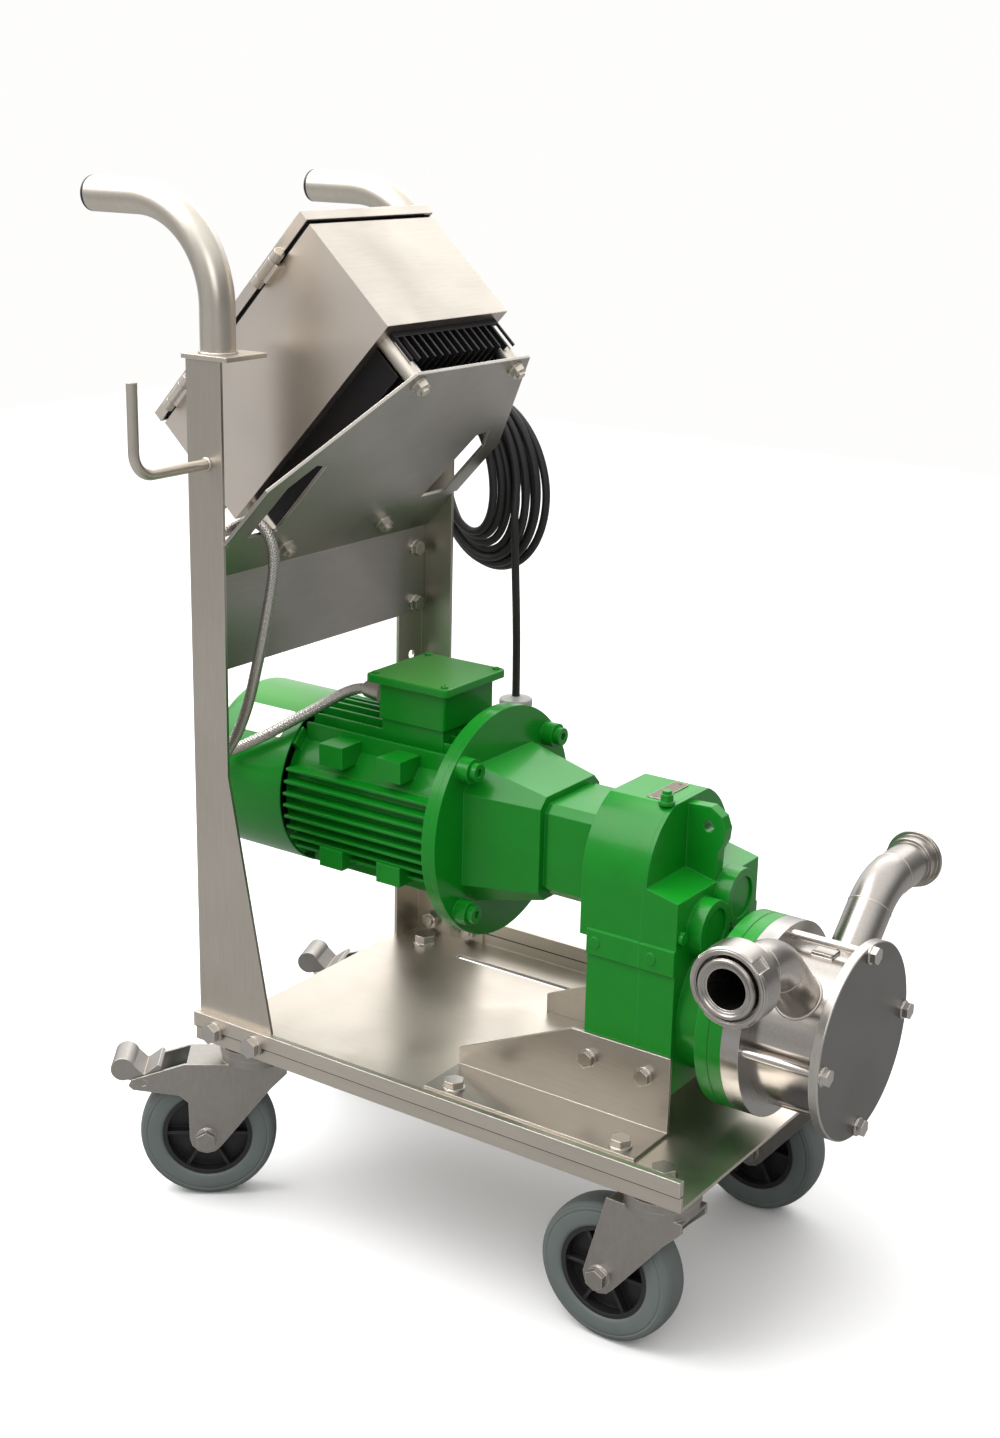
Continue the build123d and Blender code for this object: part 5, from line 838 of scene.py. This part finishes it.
# %% [markdown]
# ## Strain relief
# A mains cable that leaves a housing gets a soft sleeve, which narrows away from the gland so
# that the cable can't be bent sharply there. It follows the first points of the cable's line.

# %% Mould the strain relief
SLEEVE_START = 0.003
SLEEVE_LENGTH = 0.026
SLEEVE_THICK = 0.0062
SLEEVE_THIN = 0.0044
SLEEVE_STEP = 0.0011
SLEEVE_GROOVE = 0.0006
LINE_START = 8
sleeve_line = []
walked = 0.0
cable_line = read_line(cable_points[:LINE_START])[0]
for a, b in zip(cable_line, cable_line[1:]):
    walked += (b - a).length
    if SLEEVE_START < walked < SLEEVE_START + SLEEVE_LENGTH:
        sleeve_line.append(b)
sleeve_line = even_points(sleeve_line, SLEEVE_STEP)
sleeve_radii = []
for step in range(len(sleeve_line)):
    share = step / (len(sleeve_line) - 1)
    groove = SLEEVE_GROOVE if step % 4 == 2 and share < 0.9 else 0.0
    sleeve_radii.append(SLEEVE_THICK + (SLEEVE_THIN - SLEEVE_THICK) * share - groove * (1 - share))
sleeve_shape = round_tube(sleeve_line, sleeve_radii, around=20)
strain_relief = mesh_piece("strain_relief", *sleeve_shape, cable_rubber, "trolley", "black_rubber")
print("sleeve over", round(SLEEVE_LENGTH * 1000), "mm of cable")

# %% [markdown]
# ## The lips of the near port
# The liner of the near port ends in a rounded lip with a step inside it, and the slotted nut
# has a raised band next to its thread. Both are turned rings that sit on the CAD's flat faces.

# %% Turn the lips
PORT_SETBACK = 0.035
PORT_X = PUMP_AXIS[0] - PORT_SETBACK
NUT_SETBACK = 0.002
SUNK = 0.2
LINER_LIP = [(23.8, -SUNK), (23.8, 0.8), (23.4, 1.5), (22.6, 1.9), (21.4, 1.8), (20.6, 1.3), (20.2, 0.7),
             (18.4, 0.6), (18.0, 0.3), (18.0, -SUNK)]
NUT_BAND = [(30.2, -SUNK), (30.2, 0.4), (29.9, 0.7), (27.6, 0.7), (27.2, 0.3), (27.2, -SUNK)]
OUTWARD = Vector((0, -1, 0))
nut_low, nut_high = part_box("union_nut")
liner_face = Vector((PORT_X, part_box("pump_casing")[0].y, (nut_low.z + nut_high.z) / 2))
nut_face = liner_face - OUTWARD * NUT_SETBACK
for name, outline, face, body in (("inlet_liner_lip", LINER_LIP, liner_face, "trolley"),
                                  ("union_nut_band", NUT_BAND, nut_face, "union")):
    lip = turned(in_mm(outline), face, OUTWARD, around=72, ring=True)
    mesh_piece(name, *lip, steel_satin, body, "stainless_pump")
print("lips at", [round(value, 4) for value in liner_face])

# %% [markdown]
# ## Pieces from node trees
# What repeats comes from Geometry Nodes: a tree sets copies of one small shape along a line or
# on points. Each tree ends in Realize Instances and Set Material, and its result is kept as a
# plain mesh, so the pieces don't depend on the tree later.

# %% Helpers for geometry trees
def end_tree(tree, given, end, **copies):
    """Sets the copies on their points, makes them real and gives them their material."""
    placed = add(tree, "GeometryNodeInstanceOnPoints", copies).outputs["Instances"]
    real = add(tree, "GeometryNodeRealizeInstances", {"Geometry": placed}).outputs["Geometry"]
    painted = add(tree, "GeometryNodeSetMaterial", {"Geometry": real, "Material": given["Material"]})
    feed(end, {"Geometry": painted.outputs["Geometry"]})


def bake(tree, name, vertices, edges, body, slot, smooth=True, **values):
    """Runs a tree on points or lines and keeps the result as a plain mesh."""
    seeds = bpy.data.meshes.new(name + "_seeds")
    seeds.from_pydata([tuple(v) for v in vertices], edges, [])
    source = show(bpy.data.objects.new(name + "_source", seeds))
    modifier = source.modifiers.new("pieces", "NODES")
    modifier.node_group = tree
    for item in tree.interface.items_tree:
        label = item.name.replace(" ", "_")
        if item.in_out == "INPUT" and label in values:
            modifier[item.identifier] = values[label]
    mesh = bpy.data.meshes.new_from_object(source.evaluated_get(bpy.context.evaluated_depsgraph_get()))
    bpy.data.objects.remove(source)
    mesh.polygons.foreach_set("use_smooth", [smooth] * len(mesh.polygons))
    piece = show(bpy.data.objects.new(name, mesh))
    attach(piece, body)
    print(name, "has", len(mesh.polygons), "faces")
    return piece


print("tree helpers ready")

# %% A weld bead: overlapping drops of metal along a line, as a hand-held torch leaves them
weld_tree, given, end = new_tree("weld_bead", GEOMETRY_TREE, ("Geometry",), Geometry=None,
                                 Ripple_Spacing=0.001, Bead_Half_Width=0.001, Material=None)
spacing = given["Ripple Spacing"]
half_width = given["Bead Half Width"]
line = add(weld_tree, "GeometryNodeMeshToCurve", {"Mesh": given["Geometry"]}).outputs["Curve"]
steps = add(weld_tree, "GeometryNodeResampleCurve", {"Curve": line, "Length": spacing}, mode="LENGTH")
drop = add(weld_tree, "GeometryNodeMeshUVSphere", {"Segments": 8, "Rings": 5, "Radius": 1.0})
along = add(weld_tree, "GeometryNodeInputTangent").outputs["Tangent"]
turn = add(weld_tree, "FunctionNodeAlignRotationToVector", {"Vector": along}, axis="X")
drop_size = add(weld_tree, "ShaderNodeCombineXYZ", {"X": spacing, "Y": half_width, "Z": half_width})
end_tree(weld_tree, given, end, Points=steps.outputs["Curve"], Instance=drop.outputs["Mesh"],
         Rotation=turn.outputs["Rotation"], Scale=drop_size.outputs["Vector"])
weld_metal = brushed("weld_metal", (600, 600, 600), (0.28, 0.4), (0.50, 0.465, 0.43),
                     (0.36, 0.33, 0.30), 0.00002)
print("weld tree ready")


# %% Rings and saddles for the beads
def ring_line(centre, axis, radius, count=60):
    """The points of a ring."""
    return turned([(radius, 0)], centre, axis, around=count)[0]


def weld(name, rings, spacing, half_width, slot):
    """A bead along each of these closed rows of points."""
    points = []
    edges = []
    for ring in rings:
        first = len(points)
        points += ring
        edges += [(first + i, first + (i + 1) % len(ring)) for i in range(len(ring))]
    bake(weld_tree, name, points, edges, "trolley", slot, Ripple_Spacing=spacing,
         Bead_Half_Width=half_width, Material=weld_metal)


print("welder ready")

# %% [markdown]
# ## Welds
# The pump's ports are pipes welded into the barrel, each with a butt weld where its bend starts
# and ends. Where a pipe meets the barrel the weld follows the line that both surfaces share. The
# handles and the cable hooks are welded to the posts.

# %% Weld the ports, the handles and the hooks
PUMP_HEIGHT = 0.260
PIPE_RADIUS = 0.01905
BARREL_RADIUS = 0.067
PORT_HEIGHT = 0.3575
BEND_START = (0.0808, 0.3408)
BEND_END_Y = 0.1211
HANDLE_PLACE = (-0.21105, 0.145, 0.777)
HOOK_PLACE = (-0.20905, 0.164, 0.687)
HANDLE_RING = 0.0152
HOOK_RING = 0.0047
SEAM_RADIUS = PIPE_RADIUS - 0.0006
BEAD_LIFT = 0.0004
SADDLE_POINTS = 72


def saddle(side):
    """The line where a port's pipe enters the barrel."""
    points = []
    for step in range(SADDLE_POINTS):
        angle = 2 * pi * step / SADDLE_POINTS
        across = PIPE_RADIUS * sin(angle)
        reach = (BARREL_RADIUS ** 2 - across ** 2) ** 0.5
        out = reach * sin(pi / 4) - across * cos(pi / 4)
        rise = reach * cos(pi / 4) + across * sin(pi / 4)
        points.append(Vector((PORT_X + PIPE_RADIUS * cos(angle), side * out, PUMP_HEIGHT + rise)))
    return points


seams = []
joints = []
for side in (-1, 1):
    seams.append(ring_line((PORT_X, side * BEND_START[0], BEND_START[1]), (0, side, 1), SEAM_RADIUS))
    seams.append(ring_line((PORT_X, side * BEND_END_Y, PORT_HEIGHT), (0, 1, 0), SEAM_RADIUS))
    x, y, z = HANDLE_PLACE
    joints.append(ring_line((x, side * y, z + BEAD_LIFT), (0, 0, 1), HANDLE_RING))
    x, y, z = HOOK_PLACE
    joints.append(ring_line((x, side * (y + BEAD_LIFT), z), (0, 1, 0), HOOK_RING))
weld("port_seams", seams, spacing=0.0011, half_width=0.0010, slot="stainless_pump")
weld("port_saddle_welds", [saddle(-1), saddle(1)], spacing=0.0014, half_width=0.0017, slot="stainless_pump")
weld("frame_welds", joints, spacing=0.0014, half_width=0.0015, slot="stainless")

# %% [markdown]
# ## Cooling fins on top of the motor
# The cast housing has upright fins above the shaft as well. A tree sets thin slabs in a row and
# gives each the height that brings its top to the same round outline.

# %% Cast the top fins
MOTOR_HEIGHT = 0.370
TOP_FINS = 9
TOP_FIN_PITCH = 0.011
TOP_FIN_X = -0.12105

fin_tree, given, end = new_tree("top_fins", GEOMETRY_TREE, ("Geometry",), Geometry=None, Fin_Length=0.16,
                                Fin_Thickness=0.0026, Fin_Radius=0.079, Root_Height=0.04, Material=None)
spot = add(fin_tree, "GeometryNodeInputPosition").outputs["Position"]
across = add(fin_tree, "ShaderNodeSeparateXYZ", {0: spot}).outputs["Y"]
radius = given["Fin Radius"]
root = given["Root Height"]
radius_square = calc(fin_tree, "MULTIPLY", radius, radius)
across_square = calc(fin_tree, "MULTIPLY", across, across)
reach = calc(fin_tree, "SQRT", calc(fin_tree, "SUBTRACT", radius_square, across_square))
middle = calc(fin_tree, "MULTIPLY", calc(fin_tree, "ADD", reach, root), 0.5)
keep = add(fin_tree, "GeometryNodeCaptureAttribute")
keep.capture_items.new("FLOAT", "Tall")
feed(keep, {"Geometry": given["Geometry"], "Tall": calc(fin_tree, "SUBTRACT", reach, root)})
shift = add(fin_tree, "ShaderNodeCombineXYZ", {"Z": middle}).outputs["Vector"]
raised = add(fin_tree, "GeometryNodeSetPosition", {"Geometry": keep.outputs["Geometry"], "Offset": shift})
slab_size = add(fin_tree, "ShaderNodeCombineXYZ",
                {"X": given["Fin Length"], "Y": given["Fin Thickness"], "Z": 1.0})
slab = add(fin_tree, "GeometryNodeMeshCube", {"Size": slab_size.outputs["Vector"]})
stretch = add(fin_tree, "ShaderNodeCombineXYZ", {"X": 1.0, "Y": 1.0, "Z": keep.outputs["Tall"]})
end_tree(fin_tree, given, end, Points=raised.outputs["Geometry"], Instance=slab.outputs["Mesh"],
         Scale=stretch.outputs["Vector"])

fin_spots = [(TOP_FIN_X, (i - (TOP_FINS - 1) / 2) * TOP_FIN_PITCH, 0) for i in range(TOP_FINS)]
top_fins = bake(fin_tree, "motor_top_fins", fin_spots, [], "trolley", "green_paint", smooth=False,
                Fin_Length=0.162, Fin_Thickness=0.0026, Fin_Radius=0.079, Root_Height=0.040,
                Material=green_cast)
top_fins.data.transform(Matrix.Translation((0, 0, MOTOR_HEIGHT)))

# %% [markdown]
# ## Bare plates and small screws
# The gearbox and the fan cowl each carry a small metal plate, left bare here. A plate is a
# rounded outline laid on the surface below it, flat or curved, and rivets hold its ends.

# %% Lay thin plates
GEARBOX_PLATE = (0.15195, 0.0, 0.4331)
GEARBOX_PLATE_THICK = 0.0007
GEARBOX_RIVET_AT = 0.0205
COWL_PLATE_X = -0.2480
COWL_PLATE_TURN = radians(40)
COWL_RADIUS = 0.0800
COWL_PLATE_THICK = 0.0005
COWL_RIVET_AT = 0.0255
CORNER_STEPS = 5
PLATE_RINGS = 8


def rounded_outline(length, width, corner):
    """Points round a rectangle with rounded corners, in order."""
    points = []
    for turn, (sx, sy) in enumerate(((1, 1), (-1, 1), (-1, -1), (1, -1))):
        for step in range(CORNER_STEPS + 1):
            angle = pi / 2 * (turn + step / CORNER_STEPS)
            points.append((sx * (length / 2 - corner) + corner * cos(angle),
                           sy * (width / 2 - corner) + corner * sin(angle)))
    return points


def thin_plate(name, place, length, width, thickness, corner, material):
    """A thin plate whose point (u, v) at a height lies where the function says."""
    outline = rounded_outline(length, width, corner)
    count = len(outline)
    levels = [(ring / PLATE_RINGS, thickness) for ring in range(1, PLATE_RINGS + 1)] + [(1.0, 0.0)]
    vertices = [place(0, 0, thickness)]
    for share, height in levels:
        vertices += [place(u * share, v * share, height) for u, v in outline]
    faces = [(0, 1 + i, 1 + (i + 1) % count) for i in range(count)]
    for level in range(len(levels) - 1):
        for i in range(count):
            a = 1 + level * count + i
            b = 1 + level * count + (i + 1) % count
            faces.append((a, a + count, b + count, b))
    last = 1 + (len(levels) - 1) * count
    vertices.append(place(0, 0, 0))
    faces += [(len(vertices) - 1, last + (i + 1) % count, last + i) for i in range(count)]
    return mesh_piece(name, vertices, faces, material, "trolley", "fastener_steel", smooth=False)


def on_gearbox(u, v, height):
    """A place on the flat top of the gearbox."""
    return Vector((GEARBOX_PLATE[0] + u, GEARBOX_PLATE[1] + v, GEARBOX_PLATE[2] + height))


def on_cowl(u, v, height):
    """u runs along the motor, v round it, from the top towards the near side."""
    angle = COWL_PLATE_TURN - v / COWL_RADIUS
    radius = COWL_RADIUS + height
    return Vector((COWL_PLATE_X + u, -radius * sin(angle), MOTOR_HEIGHT + radius * cos(angle)))


PLATE_GRAIN = (60, 900, 900)
plate_metal = brushed("plate_metal", PLATE_GRAIN, (0.38, 0.5), (0.24, 0.195, 0.155),
                      (0.18, 0.145, 0.115), 0.00002)
cowl_plate_metal = brushed("cowl_plate_metal", PLATE_GRAIN, (0.36, 0.48), (0.66, 0.63, 0.58),
                           (0.56, 0.53, 0.49), 0.00002)
thin_plate("gearbox_plate", on_gearbox, length=0.014, width=0.046, thickness=GEARBOX_PLATE_THICK,
           corner=0.0012, material=plate_metal)
thin_plate("cowl_plate", on_cowl, length=0.056, width=0.030, thickness=COWL_PLATE_THICK,
           corner=0.002, material=cowl_plate_metal)
print("plates laid")

# %% Rivets and screws: one small head on each point, all turned to one direction
head_tree, given, end = new_tree("small_heads", GEOMETRY_TREE, ("Geometry",), Geometry=None, Head=None,
                                 Facing=(0, 0, 1), Head_Size=1.0, Material=None)
head = add(head_tree, "GeometryNodeObjectInfo", {"Object": given["Head"]})
turn = add(head_tree, "FunctionNodeAlignRotationToVector", {"Vector": given["Facing"]}, axis="Z")
end_tree(head_tree, given, end, Points=given["Geometry"], Instance=head.outputs["Geometry"],
         Rotation=turn.outputs["Rotation"], Scale=given["Head Size"])


def set_heads(name, points, outline, around, size, material, slot="fastener_steel", facing=(0, 0, 1)):
    """Turns one head from an outline in millimetres and sets it on each point."""
    vertices, faces = turned(in_mm(outline), (0, 0, 0), (0, 0, 1), around=around)
    mesh = bpy.data.meshes.new(name + "_pattern")
    mesh.from_pydata([tuple(v) for v in vertices], [], faces)
    pattern = show(bpy.data.objects.new(name + "_pattern", mesh))
    bake(head_tree, name, points, [], "trolley", slot, Head=pattern, Facing=facing, Head_Size=size,
         Material=material)
    bpy.data.objects.remove(pattern)


RIVET = [(0, -0.3), (1.5, -0.3), (1.5, 0.1), (1.2, 0.55), (0.6, 0.85), (0, 0.9)]
PAN_HEAD = [(0, -0.4), (4.2, -0.4), (4.2, 1.2), (3.6, 2.1), (2.2, 2.5), (1.9, 1.3), (0, 1.3)]
LID_INSET = 0.007
LID_LENGTH = 0.090
lid_low, lid_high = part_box("terminal_box")
lid_corners = [(x, y, lid_high.z) for x in (lid_high.x - LID_INSET, lid_high.x - LID_LENGTH + LID_INSET)
               for y in (lid_low.y + LID_INSET, lid_high.y - LID_INSET)]
gearbox_rivets = [on_gearbox(0, v, GEARBOX_PLATE_THICK) for v in (-GEARBOX_RIVET_AT, GEARBOX_RIVET_AT)]
cowl_rivets = [on_cowl(u, 0, COWL_PLATE_THICK) for u in (-COWL_RIVET_AT, COWL_RIVET_AT)]
cowl_facing = (0, -sin(COWL_PLATE_TURN), cos(COWL_PLATE_TURN))
set_heads("gearbox_plate_rivets", gearbox_rivets, RIVET, around=14, size=1.0, material=plate_metal)
set_heads("cowl_plate_rivets", cowl_rivets, RIVET, around=14, size=0.9, material=cowl_plate_metal,
          facing=cowl_facing)
set_heads("terminal_lid_screws", lid_corners, PAN_HEAD, around=18, size=0.8, material=green_smooth,
          slot="green_paint")
print("small heads set")

# %% [markdown]
# ## Floor and light
# The photograph was cut out on white. The floor is a pale sheet that looks white from the
# camera, but it throws back less light than that, because the real floor was darker and the
# undersides and the polished steel show it. Steel only looks like steel when bright and dark
# parts of the room lie next to each other, so the room is bright overhead and to the far left,
# middling on the near side and dark to the right.

# %% Lay the floor
FLOOR_HALF = 4.0
FLOOR_SEEN = 0.98
FLOOR_BOUNCE = 0.30
floor_mesh = bpy.data.meshes.new("studio_floor")
floor_corners = [(sx * FLOOR_HALF, sy * FLOOR_HALF, 0) for sx, sy in ((-1, -1), (1, -1), (1, 1), (-1, 1))]
floor_mesh.from_pydata(floor_corners, [], [(0, 1, 2, 3)])
studio_floor = show(bpy.data.objects.new("studio_floor", floor_mesh))
floor_paint = bpy.data.materials.new("pale_floor")
floor_paint.use_nodes = True
floor_tree = floor_paint.node_tree
seen = add(floor_tree, "ShaderNodeLightPath").outputs["Is Camera Ray"]
feed(floor_tree.nodes["Principled BSDF"], {
    "Base Color": mix_colour(floor_tree, seen, (FLOOR_BOUNCE,) * 3, (FLOOR_SEEN,) * 3),
    "Roughness": 0.7, "Specular IOR Level": 0.0})
floor_mesh.materials.append(floor_paint)
print("floor laid")


# %% Hang the lights
def soft_light(name, place, aim, size, power):
    """A rectangular soft light at a place, turned to what it lights."""
    light = bpy.data.lights.new(name, "AREA")
    light.shape = "RECTANGLE"
    light.size, light.size_y = size
    light.energy = power
    lamp = show(bpy.data.objects.new(name, light))
    direction = Vector(aim) - Vector(place)
    lamp.matrix_world = Matrix.Translation(place) @ direction.to_track_quat("-Z", "Y").to_matrix().to_4x4()


soft_light("key_light", (-1.3, -0.9, 2.6), (0.0, 0.0, 0.4), (2.6, 2.6), 68)
soft_light("fill_light", (1.6, -2.4, 1.9), (0.0, 0.0, 0.45), (1.4, 1.4), 14)
soft_light("back_light", (-0.6, 2.4, 2.1), (0.0, 0.0, 0.5), (2.6, 1.2), 10)
print("lights hung")

# %% Light the room: each part is a direction, where its glow starts and is full, and its strength
ROOM_DARK = 0.19
ROOM_SEEN = 0.99
ROOM_TINT = (1.0, 0.995, 0.985, 1)
ROOM_PARTS = (
    ((0.0, 0.0, 1.0), 0.15, 0.95, 1.15),
    ((-0.65, 0.65, 0.35), 0.5, 0.98, 0.95),
    ((-0.5, -0.85, 0.1), 0.4, 1.0, 0.30),
)
world = bpy.data.worlds.new("studio")
world.use_nodes = True
room = world.node_tree
way = object_place(room, "Generated")
glow = ROOM_DARK
for towards, start, full, strength in ROOM_PARTS:
    facing = vector_calc(room, "DOT_PRODUCT", way, Vector(towards).normalized(), result="Value")
    lobe = spread(room, facing, start, full, 0.0, strength, interpolation_type="SMOOTHSTEP")
    glow = calc(room, "ADD", glow, lobe)
seen = add(room, "ShaderNodeLightPath").outputs["Is Camera Ray"]
shown = add(room, "ShaderNodeMix", {"Factor": seen, "A": glow, "B": ROOM_SEEN}, data_type="FLOAT")
feed(room.nodes["Background"], {"Strength": shown.outputs["Result"], "Color": ROOM_TINT})
bpy.context.scene.world = world
bpy.context.scene.view_settings.view_transform = "Standard"
print("room lit")

# %% [markdown]
# ## Update the scene
# The dressed model has to stay inside the CAD model's box.

# %% Update the scene
bpy.context.view_layer.update()
